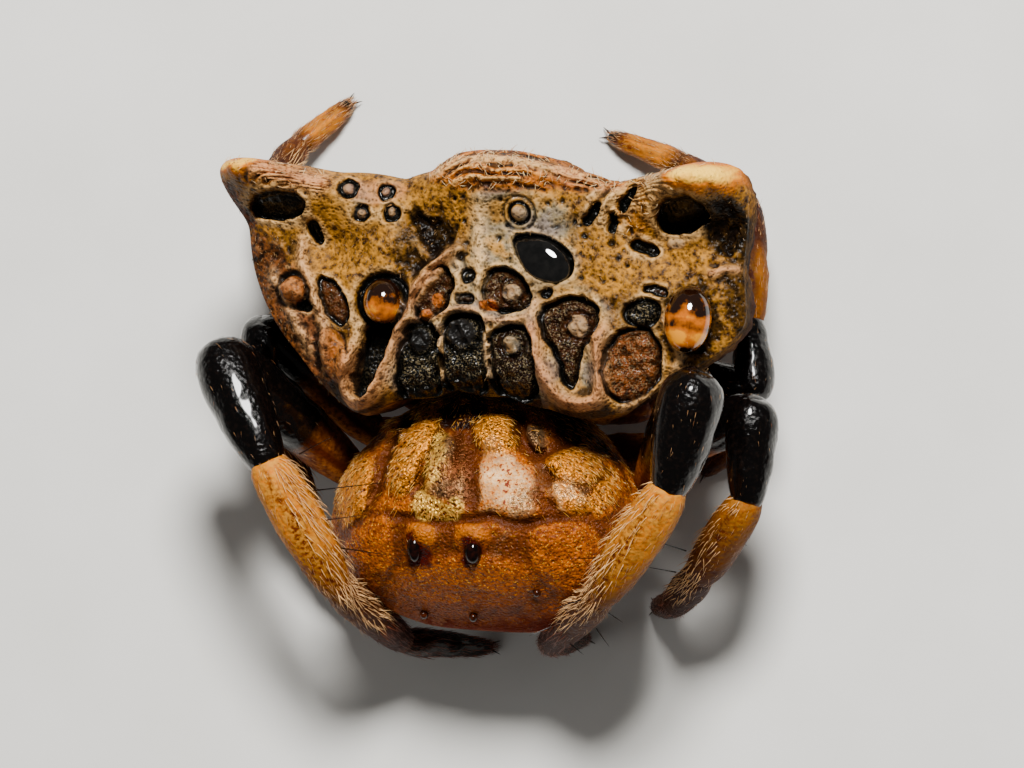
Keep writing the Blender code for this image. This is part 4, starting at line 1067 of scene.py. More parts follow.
def carapaceMaterial():
    material, shader, wire = newMaterial("carapaceCuticle", IOR=1.2)
    paint = carapacePaint
    grain = wire.group(cuticleGrain, Grain_Size=0.06, Pore_Size=0.05)
    fine, broad, pore = grain.outputs["Fine"], grain.outputs["Broad"], grain.outputs["Pore"]
    base = wire.blend(wire.span(fine, 0.36, 0.62), paint["baseDark"], paint["base"])
    base = wire.blend(wire.span(broad, 0.4, 0.7, 0.0, 0.6), base, paint["baseDark"])
    gold = wire.blend(wire.span(fine, 0.36, 0.56), paint["goldDark"], paint["gold"])
    colour = wire.blend(wire.mask("gold"), base, gold)
    # Golden specks, painted glints, fewer low on the face.
    glintFleck = wire.group(speckle, Speck_Size=0.035, Cover=0.22).outputs["Mask"]
    shy = wire.span(wire.mask("low"), 0.0, 0.6, 0.6, 0.05)
    colour = wire.blend(wire.times(glintFleck, shy), colour, paint["glintFleck"])
    colour = wire.blend(wire.times(wire.mask("mound"), 0.45), colour, paint["mound"])
    colour = wire.blend(wire.times(wire.mask("low"), 0.9), colour, paint["low"])
    speck = wire.group(speckle, Speck_Size=0.06, Cover=0.3).outputs["Mask"]
    # The painted highlight: pale pink with specks, patchy at its edge.
    pearlHighlight = wire.blend(wire.span(fine, 0.42, 0.58, 0.0, 0.85), paint["pearlHighlight"], paint["gold"])
    pearlHighlight = wire.blend(speck, pearlHighlight, paint["pearlSpeck"])
    patchy = wire.span(wire.plus(broad, wire.times(fine, 0.5)), 0.55, 0.95, -0.4, 0.4)
    highlightLevel = wire.plus(wire.mask("pearlHighlight"), patchy)
    colour = wire.blend(wire.span(highlightLevel, 0.3, 1.15), colour, pearlHighlight)
    ash = wire.blend(wire.span(fine, 0.36, 0.56), paint["ashDark"], paint["ash"])
    colour = wire.blend(wire.times(wire.mask("ash"), wire.span(broad, 0.3, 0.6, 0.5, 1.0)), colour, ash)
    # Places sunk below their surroundings are painted dark as shade; the grooves are darkened too, partly
    # their own colour and partly painted shade.
    colour = wire.blend(wire.span(wire.mask("edge"), 0.14, 0.5, 0.8, 0.0), colour, paint["goldDark"])
    colour = wire.blend(wire.times(wire.mask("furrow"), 0.85), colour, paint["goldDark"])
    colour = wire.blend(wire.times(wire.mask("crust"), wire.span(fine, 0.42, 0.54)),
                        colour, paint["crust"])
    # Dark zones; the one at the rear is painted shadow under the abdomen.
    colour = wire.blend(wire.mask("dark"), colour, paint["dark"])
    colour = wire.blend(wire.mask("eyeRim"), colour, paint["eyeRim"])
    colour = wire.blend(wire.mask("under"), colour, paint["under"])
    wire.feed(shader, "Base Color", colour)
    rough = wire.span(fine, 0.34, 0.66, 0.22, 0.42)
    dull = wire.larger(wire.mask("low"), wire.mask("under"))
    wire.feed(shader, "Roughness", wire.between(dull, rough, 0.95))
    gleam = wire.larger(wire.mask("gold"), wire.larger(wire.mask("crust"), wire.mask("ash")))
    wire.feed(shader, "Metallic", wire.times(gleam, 0.7))
    wire.feed(shader, "Normal", wire.bump(grain.outputs["Height"], 0.035, 1.0))
    return material


def surfaceNormals(points, rings, sides):
    # Cross product of the steps along and round a grid of rings.
    grid = points[:rings * sides].reshape(rings, sides, 3)
    about = np.roll(grid, -1, axis=1) - np.roll(grid, 1, axis=1)
    along = np.gradient(grid, axis=0)
    normal = np.cross(along, about)
    outward = grid - grid.mean(axis=1, keepdims=True)
    normal = normal * np.sign((outward * normal).sum(axis=2, keepdims=True))
    return unit(normal).reshape(-1, 3)


def makeCarapace():
    points, faces, masks, unwrap = carapacePoints()
    material = carapaceMaterial()
    skin = makePiece("carapaceSkin", points, faces, material, masks)
    dress(skin, "carapace_cuticle", "prosoma")
    start, end, radius = carapace["pedicel"]
    stalk, stalkFaces = limbLength(start, end, radius, radius, 24, 16)[:2]
    dress(makePiece("pedicelSkin", stalk, stalkFaces, material), "carapace_cuticle")
    normals = surfaceNormals(points, carapace["rings"], carapace["sides"])
    return points[:-2], normals, unwrap, {name: values[:-2] for name, values in masks.items()}


# Hairs


def hairCoat(name, roots, leans, bends, lengths, widths, tints, patches, material, slotName, stations=3):
    # Each hair is a three-sided tube: its centre goes length times share along its lean plus
    # share squared along its bend, and its radius falls by the root of what is left.
    count = len(roots)
    share = np.arange(stations) / stations
    leans = unit(leans)
    side = unit(np.cross(leans, bends + (1e-4, 2e-4, 3e-4)))
    lift = np.cross(side, leans)
    centre = roots[:, None] + lengths[:, None, None] * (
        leans[:, None] * share[:, None] + bends[:, None] * share[:, None] ** 2)
    radius = widths[:, None] * np.sqrt(1 - share)[None]
    angle = np.radians((0, 120, 240))
    around = side[:, None, None] * np.cos(angle)[:, None] + lift[:, None, None] * np.sin(angle)[:, None]
    rings = centre[:, :, None] + radius[:, :, None, None] * around
    tips = roots + lengths[:, None] * (leans + bends)
    points = np.concatenate([rings.reshape(count, -1, 3), tips[:, None]], axis=1)
    faces = [[2, 1, 0]]
    for k in range(stations - 1):
        faces += [[3 * k + a, 3 * k + b, 3 * k + 3 + b, 3 * k + 3 + a] for a, b in ((0, 1), (1, 2), (2, 0))]
    last = 3 * stations - 3
    faces += [[last + a, last + b, last + 3] for a, b in ((0, 1), (1, 2), (2, 0))]
    size = points.shape[1]
    starts = np.arange(count) * size
    allFaces = [row for face in faces for row in (starts[:, None] + face).tolist()]
    flat = points.reshape(-1, 3)
    masks = {"tint": np.repeat(tints, size), "tip": np.tile(np.append(np.repeat(share, 3), 1.0), count)}
    piece = makePiece(name, flat, facingOut(flat, allFaces), material, masks)
    patch = np.column_stack([np.append(np.tile((0.0, 0.5, 1.0), stations), 0.5),
                             np.append(np.repeat(share, 3), 1.0)]) * 0.003
    places = (np.clip(patches, 0.0, 0.996)[:, None] + patch[None]).reshape(-1, 2)
    corners = np.empty(len(piece.data.loops), np.int32)
    piece.data.loops.foreach_get("vertex_index", corners)
    layer = piece.data.uv_layers.new(name="OFBake")
    layer.data.foreach_set("uv", places[corners].astype(np.float32).ravel())
    dress(piece, slotName)
    return piece


hairPaint = {  # dark, bright and tip colours, and roughness
    "goldenHair": (tone(128, 58, 4), tone(236, 166, 50), tone(252, 206, 110), 0.22),
    "legHair": (tone(116, 50, 12), tone(240, 186, 120), tone(244, 200, 140), 0.3),
    "paleHair": (tone(180, 110, 40), tone(244, 214, 150), tone(252, 232, 190), 0.3),
    "darkHair": (tone(20, 12, 8), tone(120, 84, 44), tone(190, 150, 96), 0.35),
    "bristle": (tone(8, 4, 3), tone(44, 16, 8), tone(12, 7, 6), 0.22),
    "claw": (tone(10, 6, 4), tone(30, 14, 8), tone(60, 30, 16), 0.2),
}


def hairMaterial(name):
    # The hair's own tint runs from dark to bright; the tip colour comes in with brightness.
    dark, bright, tip, roughness = hairPaint[name]
    material, shader, wire = newMaterial(name, Roughness=roughness)
    tint = wire.mask("tint")
    colour = wire.blend(wire.span(tint, 0.0, 1.0), dark, bright)
    paleTip = wire.times(wire.span(wire.mask("tip"), 0.2, 1.0), wire.span(tint, 0.1, 0.6))
    colour = wire.blend(paleTip, colour, tip)
    streak = wire.noise(0.05, 2)
    colour = wire.blend(wire.span(streak, 0.45, 0.7, 0.0, 0.4), colour, dark)
    wire.feed(shader, "Base Color", colour)
    wire.feed(shader, "Roughness", wire.span(wire.mask("tint"), 0.0, 1.0, roughness, roughness + 0.15))
    return material


def layAlong(normals, flow, rise):
    # The flow laid into the surface, with a share of the surface's normal added.
    tangent = flow - (flow * normals).sum(axis=1, keepdims=True) * normals
    return unit(tangent) + rise * normals


def makeCarapaceCoat(points, normals, unwrap, masks):
    # Hairs lie forward and outward from the middle, densest on the golden lobes and the crust.
    coat = carapace["coat"]
    rng = np.random.default_rng(coat["seed"])
    px, py = seenPixel(points)
    density = 0.35 + 1.3 * masks["gold"] + 1.6 * masks["crust"] + 0.6 * masks["dark"] + 0.4 * masks["mound"]
    density *= (1 - masks["under"]) * (1 - 0.85 * masks["pearlHighlight"]) * (normals[:, 2] > 0.05)
    density *= (1 - 0.8 * masks["low"]) * (1 - 0.7 * masks["furrow"])
    for at in coat["eyes"]:
        density *= np.hypot(px - at[0], py - at[1]) > coat["eyeClear"]
    picked = rng.choice(len(points), coat["count"], replace=False, p=density / density.sum())
    masks = {name: values[picked] for name, values in masks.items()}
    roots, normals, px, py = points[picked], normals[picked], px[picked], py[picked]
    swirl = 0.5 * waves(roots, 0.9, 67, 2)[:, None] * (1, 0, 0)
    flow = np.column_stack([(px - 455) / 110, -1.0 + 0 * px, 0 * px]) + swirl
    flow += 0.3 * rng.normal(size=flow.shape)
    rise = rng.uniform(0.1, 0.35, (len(picked), 1))
    leans = layAlong(normals, flow, rise)
    bends = -0.5 * rise * normals + 0.12 * rng.normal(size=flow.shape)
    onFace = smoothStep((py - coat["faceRow"]) / 25)
    lengths = rng.uniform(*coat["lengths"], len(picked)) * (1 - 0.5 * onFace)
    tints = rng.uniform(0, 1, len(picked)) * (0.45 + 0.5 * masks["gold"] + 0.7 * masks["crust"])
    tints = np.clip(tints, 0, 1) * (1 - 0.6 * masks["low"])
    widths = rng.uniform(*coat["widths"], len(picked)) * (1 - 0.3 * onFace)
    hairCoat("carapaceCoat", roots - 0.01 * normals, leans, bends, lengths, widths, tints,
             unwrap[picked], hairMaterial("goldenHair"), "carapace_cuticle")


# Lengths of leg, palp and spinneret: tapered and round at both ends


def limbLength(start, end, startRadius, endRadius, sides, rings, fullness=3.2, overrun=0.5, middle=1.0):
    # Radius goes from start to end by way of the middle factor on a parabola, times a
    # superellipse of the share, a little past both ends.
    start, end = np.array(start, float), np.array(end, float)
    polar = np.pi * (np.arange(rings) + 0.7) / (rings + 0.4)
    height = -np.cos(polar)[:, None]
    share = (height + 1) / 2
    radius = startRadius + (endRadius - startRadius) * share
    radius = radius * (1 + (middle - 1) * 4 * share * (1 - share))
    radius = radius * (1 - np.abs(height) ** fullness) ** (1 / fullness)
    axis = end - start
    length = np.linalg.norm(axis)
    axis = axis / length
    side = np.cross(axis, (0, 0, 1.0))
    side = side / np.linalg.norm(side)
    lift = np.cross(side, axis)
    angle = np.linspace(0, 2 * np.pi, sides, endpoint=False)[None]
    back, on = overrun * startRadius, overrun * endRadius
    travel = -back + (length + back + on) * share
    ring = (side * np.cos(angle)[..., None] + lift * np.sin(angle)[..., None]) * radius[..., None]
    centre = start + axis * travel[..., None]
    points = (centre + ring).reshape(-1, 3)
    poles = [start - axis * back, end + axis * on]
    points = np.vstack([points, poles])
    faces = facingOut(points, ringFaces(rings, sides))
    shares = np.concatenate([np.broadcast_to(share, (rings, sides)).ravel(), [0, 1]])
    angles = np.concatenate([np.broadcast_to(angle, (rings, sides)).ravel(), [0, 0]])
    return points, faces, shares, angles


legs = {
    "coxae": {
        "1": ((1.2, -1.12, 1.88), (2.35, -1.02, 1.9)), "2": ((1.2, -0.4, 1.36), (2.25, -0.34, 1.28)),
        "3": ((1.0, 0.27, 1.46), (1.88, 0.38, 1.05)), "4": ((0.52, 0.7, 1.86), (1.26, 1.1, 1.45)),
    },
    "stance": {  # ends of femur, patella, tibia, metatarsus and tarsus in the line of sight
        "leg_r1": ((-4.08, 0.7, 3.5), (-3.36, -0.95, 3.85), (-2.3, -2.85, 3.1),
                   (-1.3, -3.72, 1.2), (0.0, -3.85, 0.13)),
        "leg_r2": ((-3.45, 1.1, 2.2), (-3.45, -0.15, 1.55), (-2.85, -1.75, 1.2),
                   (-2.2, -2.95, 0.6), (-1.65, -3.5, 0.13)),
        "leg_r3": ((-2.35, 0.9, 0.85), (-2.65, 1.3, 0.75), (-2.95, 1.75, 0.55),
                   (-2.95, 2.15, 0.35), (-2.65, 2.5, 0.13)),
        "leg_r4": ((-2.6, 1.6, 1.6), (-3.2, 2.3, 1.6), (-3.45, 3.4, 1.25),
                   (-2.97, 4.02, 0.5), (-2.2, 4.65, 0.13)),
        "leg_l1": ((3.12, 0.12, 4.9), (2.76, -1.4, 4.75), (1.72, -3.0, 3.7),
                   (0.95, -3.75, 1.7), (1.5, -3.72, 0.13)),
        "leg_l2": ((4.05, -0.25, 3.3), (3.98, -1.6, 3.2), (3.25, -2.75, 2.1),
                   (2.9, -3.2, 1.0), (2.65, -3.25, 0.13)),
        "leg_l3": ((3.15, 0.2, 0.85), (3.55, 0.0, 0.8), (3.85, -0.45, 0.6),
                   (3.75, -0.85, 0.38), (3.4, -1.15, 0.13)),
        "leg_l4": ((4.1, 0.1, 2.1), (4.07, 1.15, 1.9), (4.05, 2.95, 1.4),
                   (3.05, 3.62, 0.6), (1.95, 4.08, 0.13)),
    },
    "radii": {
        "1": (0.28, 0.52, 0.54, 0.36, 0.31, 0.26), "2": (0.27, 0.43, 0.43, 0.33, 0.29, 0.26),
        "3": (0.25, 0.3, 0.28, 0.27, 0.25, 0.25), "4": (0.25, 0.35, 0.34, 0.28, 0.26, 0.25),
    },
    "ends": (  # share of the radius at the start, middle and end of each length
        (1.0, 1.0, 1.0), (0.85, 1.0, 1.0), (1.04, 1.05, 0.72), (0.82, 1.12, 0.92), (0.92, 1.0, 0.9),
        (0.9, 1.0, 1.0),
    ),
    "tipShare": 0.55,
    "sides": 48,
    "rings": 50,
    # Length counted in segments from the coxa, then how black, red and pale it is there.
    "paint": {
        "1": ((0.0, 0.1, 0.5, 0.0), (1.0, 0.0, 0.5, 0.0), (1.3, 0.0, 0.4, 0.0), (1.42, 1, 0.3, 0),
              (2.93, 1, 0, 0), (3.02, 0.0, 0.0, 0.6), (3.5, 0.0, 0.1, 0.5), (3.85, 0.05, 0.7, 0.2),
              (4.1, 0.1, 1.0, 0.1), (4.85, 0.5, 1.0, 0.0), (5.05, 0.95, 0.3, 0.0), (6.0, 1, 0, 0)),
        "2": ((0.0, 0.1, 0.5, 0.0), (1.0, 0.0, 0.3, 0.0), (1.5, 0.0, 0.3, 0.0), (1.65, 1, 0.3, 0),
              (2.93, 1, 0, 0), (3.02, 0.1, 0.5, 0.3), (3.7, 0.2, 0.9, 0.1), (4.1, 0.5, 0.9, 0.0),
              (5.0, 0.7, 0.8, 0.0), (6.0, 0.8, 0.4, 0)),
        "3": ((0.0, 0.2, 0.5, 0.0), (1.0, 0.1, 0.4, 0.0), (1.8, 0.6, 0.3, 0.0), (2.9, 0.9, 0, 0),
              (3.1, 0.2, 0.4, 0.3), (5.0, 0.4, 0.6, 0.0), (6.0, 0.8, 0.4, 0)),
        "4": ((0.0, 0.2, 0.5, 0.0), (1.0, 0.1, 0.3, 0.0), (1.5, 0.3, 0.3, 0.0), (1.7, 1, 0, 0),
              (2.9, 1, 0, 0), (3.1, 0.35, 0.4, 0.1), (3.4, 0.25, 0.3, 0.25), (3.65, 0.75, 0.3, 0.0),
              (4.1, 0.9, 0.3, 0.0), (4.8, 0.6, 0.4, 0.0), (4.95, 0.95, 0, 0), (5.12, 0.8, 0.1, 0),
              (5.3, 0.0, 0.0, 0.3), (5.75, 0.1, 0.1, 0.3), (5.9, 1, 0, 0), (6.0, 1, 0, 0)),
    },
    # Hairs of each leg: how many, and their length on tibia and tarsus in mm.
    "hairs": {"1": (2100, 0.3), "2": (1300, 0.22), "3": (500, 0.16), "4": (1500, 0.24)},
    "wetness": ((0, 2.97, 3.03, 5, 5.1), (1, 1, 0.1, 0.1, 0.4)),  # length in segments, level
    "coat": {
        "seed": 70,
        "density": ((0, 1.4, 1.5, 2.9, 3.0, 5.0, 6.0), (0.05, 0.1, 0.12, 0.16, 1.0, 1.0, 1.2)),
        "inner": (-1.0, -0.2, 0.5),  # way from a left leg to the face
        "kneeEnd": 3.0, "start": 3.02, "fringeEnd": 4.6, "end": 4.9, "darkFrom": 4.5,
        "fringeLengths": (0.7, 1.1), "lengths": (0.4, 0.7), "kneeLength": 0.7,
        "fringeWidth": 0.0065, "width": 0.0045, "kneeWidth": 0.003,
    },
}
legPaint = {
    "orange": tone(196, 110, 0), "orangeDark": tone(92, 34, 0), "red": tone(62, 16, 0),
    "pale": tone(228, 156, 48), "black": tone(4, 3, 3), "sheen": tone(18, 11, 8),
}


def legMaterial(name, paint, gloss=0.16):
    material, shader, wire = newMaterial(name, IOR=1.2, Coat_Roughness=0.08, Coat_IOR=1.35)
    grain = wire.group(cuticleGrain, Grain_Size=0.07, Pore_Size=0.08)
    fine, broad = grain.outputs["Fine"], grain.outputs["Broad"]
    mottle = wire.times(wire.mask("streak"), wire.span(broad, 0.35, 0.62, 0.5, 1.2))
    colour = wire.blend(wire.span(mottle, 0.2, 0.7), paint["orangeDark"], paint["orange"])
    colour = wire.blend(wire.span(fine, 0.44, 0.6, 0.0, 0.8), colour, paint["orangeDark"])
    colour = wire.blend(wire.mask("red"), colour, paint["red"])
    colour = wire.blend(wire.times(wire.mask("pale"), wire.span(fine, 0.4, 0.58, 0.0, 1.0)),
                        colour, paint["pale"])
    black = wire.blend(wire.span(fine, 0.52, 0.7), paint["black"], paint["sheen"])
    colour = wire.blend(wire.mask("black"), colour, black)
    wire.feed(shader, "Base Color", colour)
    rough = wire.span(fine, 0.3, 0.7, 0.45, 0.7)
    wet = wire.times(wire.mask("black"), wire.mask("wet"))
    wire.feed(shader, "Roughness", wire.between(wet, rough, gloss))
    wire.feed(shader, "Coat Weight", wire.times(wet, 0.8))
    wire.feed(shader, "Normal", wire.bump(grain.outputs["Height"], 0.02, 0.9))
    return material


def onCarapace(points, side):
    # Points of the carapace's own left side, put in place, or mirrored first for the right.
    return list(placed(carapace["place"], np.array(points, float) * (side, 1, 1)))


def joinShells(shells):
    # Several closed shells in one mesh: faces count on from the points before them.
    points, faces, count = [], [], 0
    for shellPoints, shellFaces in shells:
        points.append(shellPoints)
        faces += [[corner + count for corner in face] for face in shellFaces]
        count += len(shellPoints)
    return np.vstack(points), faces


def makeLeg(name, material):
    side = 1 if name[-2] == "l" else -1
    pair = name[-1]
    joints = onCarapace(legs["coxae"][pair], side) + list(fromSight(legs["stance"][name]))
    radii = legs["radii"][pair]
    shells, alongs, arounds, coat = [], [], [], []
    for k, radius in enumerate(radii):
        startRadius = radius if k == 0 else (radii[k - 1] + radius) / 2
        endRadius = radius * legs["tipShare"] if k == 5 else (radius + radii[k + 1]) / 2
        atStart, atMiddle, atEnd = legs["ends"][k]
        points, faces, shares, around = limbLength(joints[k], joints[k + 1], startRadius * atStart,
                                                   endRadius * atEnd, legs["sides"], legs["rings"],
                                                   middle=atMiddle)
        points = points + unit(points - points.mean(axis=0)) * 0.012 * waves(points, 0.5, 30 + k, 3)[:, None]
        points[:, 2] = np.maximum(points[:, 2], 0.0)
        shells.append((points, faces))
        alongs.append(k + shares)
        arounds.append(around)
        normals = surfaceNormals(points, legs["rings"], legs["sides"])
        axis = np.tile(unit((joints[k + 1] - joints[k])[None]), (len(normals), 1))
        coat.append(np.column_stack([points[:-2], normals, axis, (k + shares)[:-2], around[:-2]]))
    points, faces = joinShells(shells)
    stops = np.array(legs["paint"][pair])
    along = np.concatenate(alongs)
    masks = {mask: np.interp(along, stops[:, 0], stops[:, k])
             for k, mask in enumerate(("black", "red", "pale"), start=1)}
    wrapped = np.column_stack([np.cos(np.concatenate(arounds)), np.sin(np.concatenate(arounds)), 0.5 * along])
    masks["streak"] = np.clip(0.5 + 0.4 * waves(wrapped, 0.9, 57, 3), 0, 1)
    masks["wet"] = np.interp(along, *legs["wetness"])
    dress(makePiece("skin_" + name, points, faces, material, masks), "leg_cuticle", name)
    makeLegCoat(name, np.vstack(coat))


def makeLegCoat(name, table):
    # Columns: root, normal, axis of the length, place along the leg and angle round it. The
    # fringe stands off the inner side beyond the knee.
    coat = legs["coat"]
    count, longest = legs["hairs"][name[-1]]
    rng = np.random.default_rng(coat["seed"] + list(legs["stance"]).index(name))
    points, normals, axes, along = table[:, :3], table[:, 3:6], table[:, 6:9], table[:, 9]
    inner = normals @ unit(np.array(coat["inner"]) * (1 if name[-2] == "l" else -1, 1, 1))
    onLower = (along > coat["start"]) & (along < coat["end"])
    density = np.interp(along, *coat["density"])
    density = density * np.where(onLower, 0.6 + 1.6 * np.clip(inner, 0, 1) ** 3, 1.0)
    density = density * (points[:, 2] > 0.12) * (np.mod(along, 1) > 0.04) * (np.mod(along, 1) < 0.97)
    picked = rng.choice(len(points), count, replace=False, p=density / density.sum())
    roots, normals, axes = points[picked], normals[picked], axes[picked]
    along, inner = along[picked], inner[picked]
    isFringe = (along > coat["start"]) & (along < coat["fringeEnd"]) & (inner > 0.55)
    isFringe &= rng.uniform(0, 1, count) < 0.5
    isKnee = along < coat["kneeEnd"]
    rise = np.where(isFringe, rng.uniform(0.5, 1.1, count), rng.uniform(0.1, 0.3, count))[:, None]
    flow = axes + 0.25 * rng.normal(size=axes.shape)
    leans = layAlong(normals, flow, rise)
    bends = -0.35 * rise * normals + 0.3 * axes + 0.08 * rng.normal(size=axes.shape)
    lengths = np.where(isFringe, rng.uniform(*coat["fringeLengths"], count),
                       rng.uniform(*coat["lengths"], count)) * longest
    lengths = lengths * np.where(isKnee, coat["kneeLength"], 1.0)
    widths = np.where(isFringe, coat["fringeWidth"], coat["width"]) * rng.uniform(0.8, 1.2, count)
    widths = np.where(isKnee, coat["kneeWidth"], widths)
    tints = np.where(isFringe, rng.uniform(0.5, 1, count), rng.uniform(0, 0.6, count))
    isDark = (along > coat["darkFrom"]) & (name[-1] != "4")
    tints = np.where(isDark, -0.3 * rng.uniform(0, 1, count), tints)
    tints = np.where(isKnee, rng.uniform(0.1, 0.5, count), tints)
    unwrap = np.column_stack([along / 6, table[picked, 10] / (2 * np.pi)])
    hairCoat("coat_" + name, roots - 0.012 * normals, leans, bends, lengths, widths, tints, unwrap,
             legHair, "leg_cuticle")


# Jaws, palps, spinnerets and eyes

mouth = {
    "jaw": ((0.45, -2.7, 1.9), (0.42, -2.72, 0.85), 0.36),
    "fang": ((0.42, -2.72, 0.85), (0.16, -2.55, 0.62), 0.11),
    "palp": ((1.1, -2.3, 1.5), (1.32, -2.68, 1.25), (1.25, -2.78, 0.75), (1.05, -2.7, 0.42)),
    "palpRadii": (0.2, 0.19, 0.16),
    "spinnerets": (0.0, 3.15, 1.25),
    "cones": ((0.0, 0.0), (0.2, 0.12), (-0.2, 0.12), (0.16, -0.2), (-0.16, -0.2)),  # across, along
    "spinneretLength": 0.75,
    "spinneretRadius": 0.22,
    "paint": {"orange": tone(120, 58, 26), "orangeDark": tone(70, 28, 12), "red": tone(84, 30, 16),
              "pale": tone(190, 130, 80), "black": tone(14, 9, 8), "sheen": tone(50, 30, 24)},
}


def makeMouth():
    material = legMaterial("mouthCuticle", mouth["paint"], 0.25)
    for sideName, side in (("l", 1), ("r", -1)):
        top, end, radius = mouth["jaw"]
        fangTop, fangEnd, fangRadius = mouth["fang"]
        ends = onCarapace((top, end, fangTop, fangEnd), side)
        jaw = joinShells([limbLength(ends[0], ends[1], radius, radius * 0.7, 32, 28, 2.6)[:2],
                          limbLength(ends[2], ends[3], fangRadius * 1.5, fangRadius * 0.6, 20, 20, 2.2)[:2]])
        dress(makePiece("jaw_" + sideName, *jaw, material), "mouth_cuticle", "chelicera_" + sideName)
        joints = onCarapace(mouth["palp"], side)
        palp = joinShells([limbLength(joints[k], joints[k + 1], radius, radius * 0.85, 24, 24, 2.6)[:2]
                           for k, radius in enumerate(mouth["palpRadii"])])
        dress(makePiece("palp_" + sideName, *palp, material), "mouth_cuticle", "pedipalp_" + sideName)
    cones = []
    radius = mouth["spinneretRadius"]
    for across, along in mouth["cones"]:
        start = np.array(mouth["spinnerets"]) + (across, along, 0.0)
        end = start + unit(np.array((across * 0.4, 0.35, -1.0))) * mouth["spinneretLength"]
        cones.append(limbLength(start, end, radius, radius * 0.45, 24, 24, 2.4)[:2])
    dress(makePiece("spinneretCones", *joinShells(cones), material), "mouth_cuticle", "spinnerets")


def ball(centre, halfSizes, rings=28, sides=40, axes=np.eye(3)):
    # Ellipsoid: rings by the polar angle, sides round it, along the three axes.
    polar = np.linspace(0, np.pi, rings + 2)[1:-1, None]
    angle = np.linspace(0, 2 * np.pi, sides, endpoint=False)[None]
    sphere = np.stack([np.sin(polar) * np.cos(angle), np.sin(polar) * np.sin(angle),
                       np.broadcast_to(np.cos(polar), (rings, sides))], axis=-1).reshape(-1, 3)
    sphere = np.vstack([sphere, [(0, 0, 1), (0, 0, -1)]])
    points = (sphere * halfSizes) @ np.asarray(axes) + centre
    return points, facingOut(points, ringFaces(rings, sides))


eyes = {
    "paint": {"main": tone(5, 3, 3), "mainGlow": tone(30, 8, 4), "small": tone(30, 10, 4),
              "smallGlow": tone(74, 28, 8)},
    # Share of the solid's size that each lens takes: across, along and up.
    "shares": {"pme_l": (1.1, 1.5, 1.05), "pme_r": (0.95, 1.7, 1.05)},
    "smallShare": (0.72, 0.72, 0.8),
}


def lensMaterial(name, dark, glow):
    material, shader, wire = newMaterial(name, Roughness=0.08, IOR=1.33)
    depth = wire.noise(0.06, 3)
    wire.feed(shader, "Base Color", wire.blend(wire.span(depth, 0.4, 0.7), dark, glow))
    return material


def makeEyes():
    paint = eyes["paint"]
    main = lensMaterial("eyeLens", paint["main"], paint["mainGlow"])
    small = lensMaterial("smallEyeLens", paint["small"], paint["smallGlow"])
    for node in sorted(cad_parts):
        if node.startswith("eye_"):
            low, high = (np.array(corner) / layout["metre"] + layout["middle"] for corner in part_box(node))
            share = eyes["shares"].get(node[4:], eyes["smallShare"])
            points, faces = ball((low + high) / 2, (high - low) / 2 * share)
            material = main if node[4:] in eyes["shares"] else small
            dress(makePiece("lens_" + node[4:], points, faces, material), "eye_lens", node)


# Glossy bodies that stand in the shield: amber beads, a glassy lens and the horns' caps

# The amber stops paint the light through each bead, from dark at the top to a glow low down.
beads = {  # middle, half sizes and turn in the photograph, height in mm, stops of amber by share of length
    "right": {"at": (688, 321), "halfSizes": (24, 34), "rise": 0.32, "turn": -6,
              "stops": ((0.0, 0.0), (0.28, 0.05), (0.42, 0.2), (0.5, 0.85), (0.58, 0.55), (0.64, 0.2),
                        (0.74, 1.1), (0.88, 0.9), (0.98, 0.0))},
    "left": {"at": (380, 298), "halfSizes": (20, 23), "rise": 0.3, "turn": 0,
             "stops": ((0.0, 0.0), (0.48, 0.0), (0.66, 0.7), (0.78, 0.85), (0.92, 0.3), (1.0, 0.0))},
}
beadPaint = {"dark": tone(22, 7, 2), "amber": tone(176, 90, 0), "glow": tone(224, 142, 0)}
lens = {"at": (541, 258), "halfSizes": (33, 21), "rise": 0.16, "turn": -32, "tip": 0.35,
        "paint": tone(4, 4, 4), "glow": tone(16, 15, 14)}
standingLift = -0.08  # how far the middle of each lies below the shield, in mm
hornCaps = {  # rows and columns of the shield's grid that each cap covers
    "horn_l": ((150, 197), (280, 372)),
    "horn_r": ((150, 197), (4, 96)),
}
capSizes = {"proud": 0.02, "dip": 0.01, "thickness": 0.08}


def beadMaterial():
    material, shader, wire = newMaterial("amberBead", Roughness=0.07, Coat_Weight=1.0, Coat_Roughness=0.03)
    warp = wire.span(wire.noise(0.22, 3), 0.3, 0.7, -0.45, 0.45)
    level = wire.plus(wire.mask("amber"), warp)
    # Painted light through the amber: dark where the mask is low, glowing where it is high.
    colour = wire.blend(wire.span(level, 0.1, 0.7), beadPaint["dark"], beadPaint["amber"])
    colour = wire.blend(wire.span(level, 0.75, 1.1), colour, beadPaint["glow"])
    wire.feed(shader, "Base Color", colour)
    return material


def onShieldAxes(turn):
    # Across, along and out of the shield, after a turn in its plan.
    turn = np.radians(turn)
    plan = np.array([(np.cos(turn), np.sin(turn), 0.0), (-np.sin(turn), np.cos(turn), 0.0), (0.0, 0.0, 1.0)])
    return plan @ shield["place"][:3, :3].T


def standing(body):
    # Ellipsoid standing on the shield at its place in the photograph.
    spot = onShield(body["at"])[0]
    height = shieldHeight(*spot) + hornRise(*spot) + standingLift
    centre = placed(shield["place"], (spot[0], spot[1], height))[0]
    sizes = np.array((*np.array(body["halfSizes"]) * layout["mmPerPixel"], body["rise"]))
    axes = onShieldAxes(body["turn"])
    points, faces = ball(centre, sizes, 44, 64, axes)
    return points, faces, (points - centre) @ axes.T / sizes


def makeBeads():
    material = beadMaterial()
    for sideName, bead in beads.items():
        points, faces, local = standing(bead)
        stops = np.array(bead["stops"])
        amber = np.interp(0.5 - local[:, 1] / 2, stops[:, 0], stops[:, 1])
        piece = makePiece("amberBead_" + sideName, points, faces, material, {"amber": amber})
        dress(piece, "abdomen_cuticle")


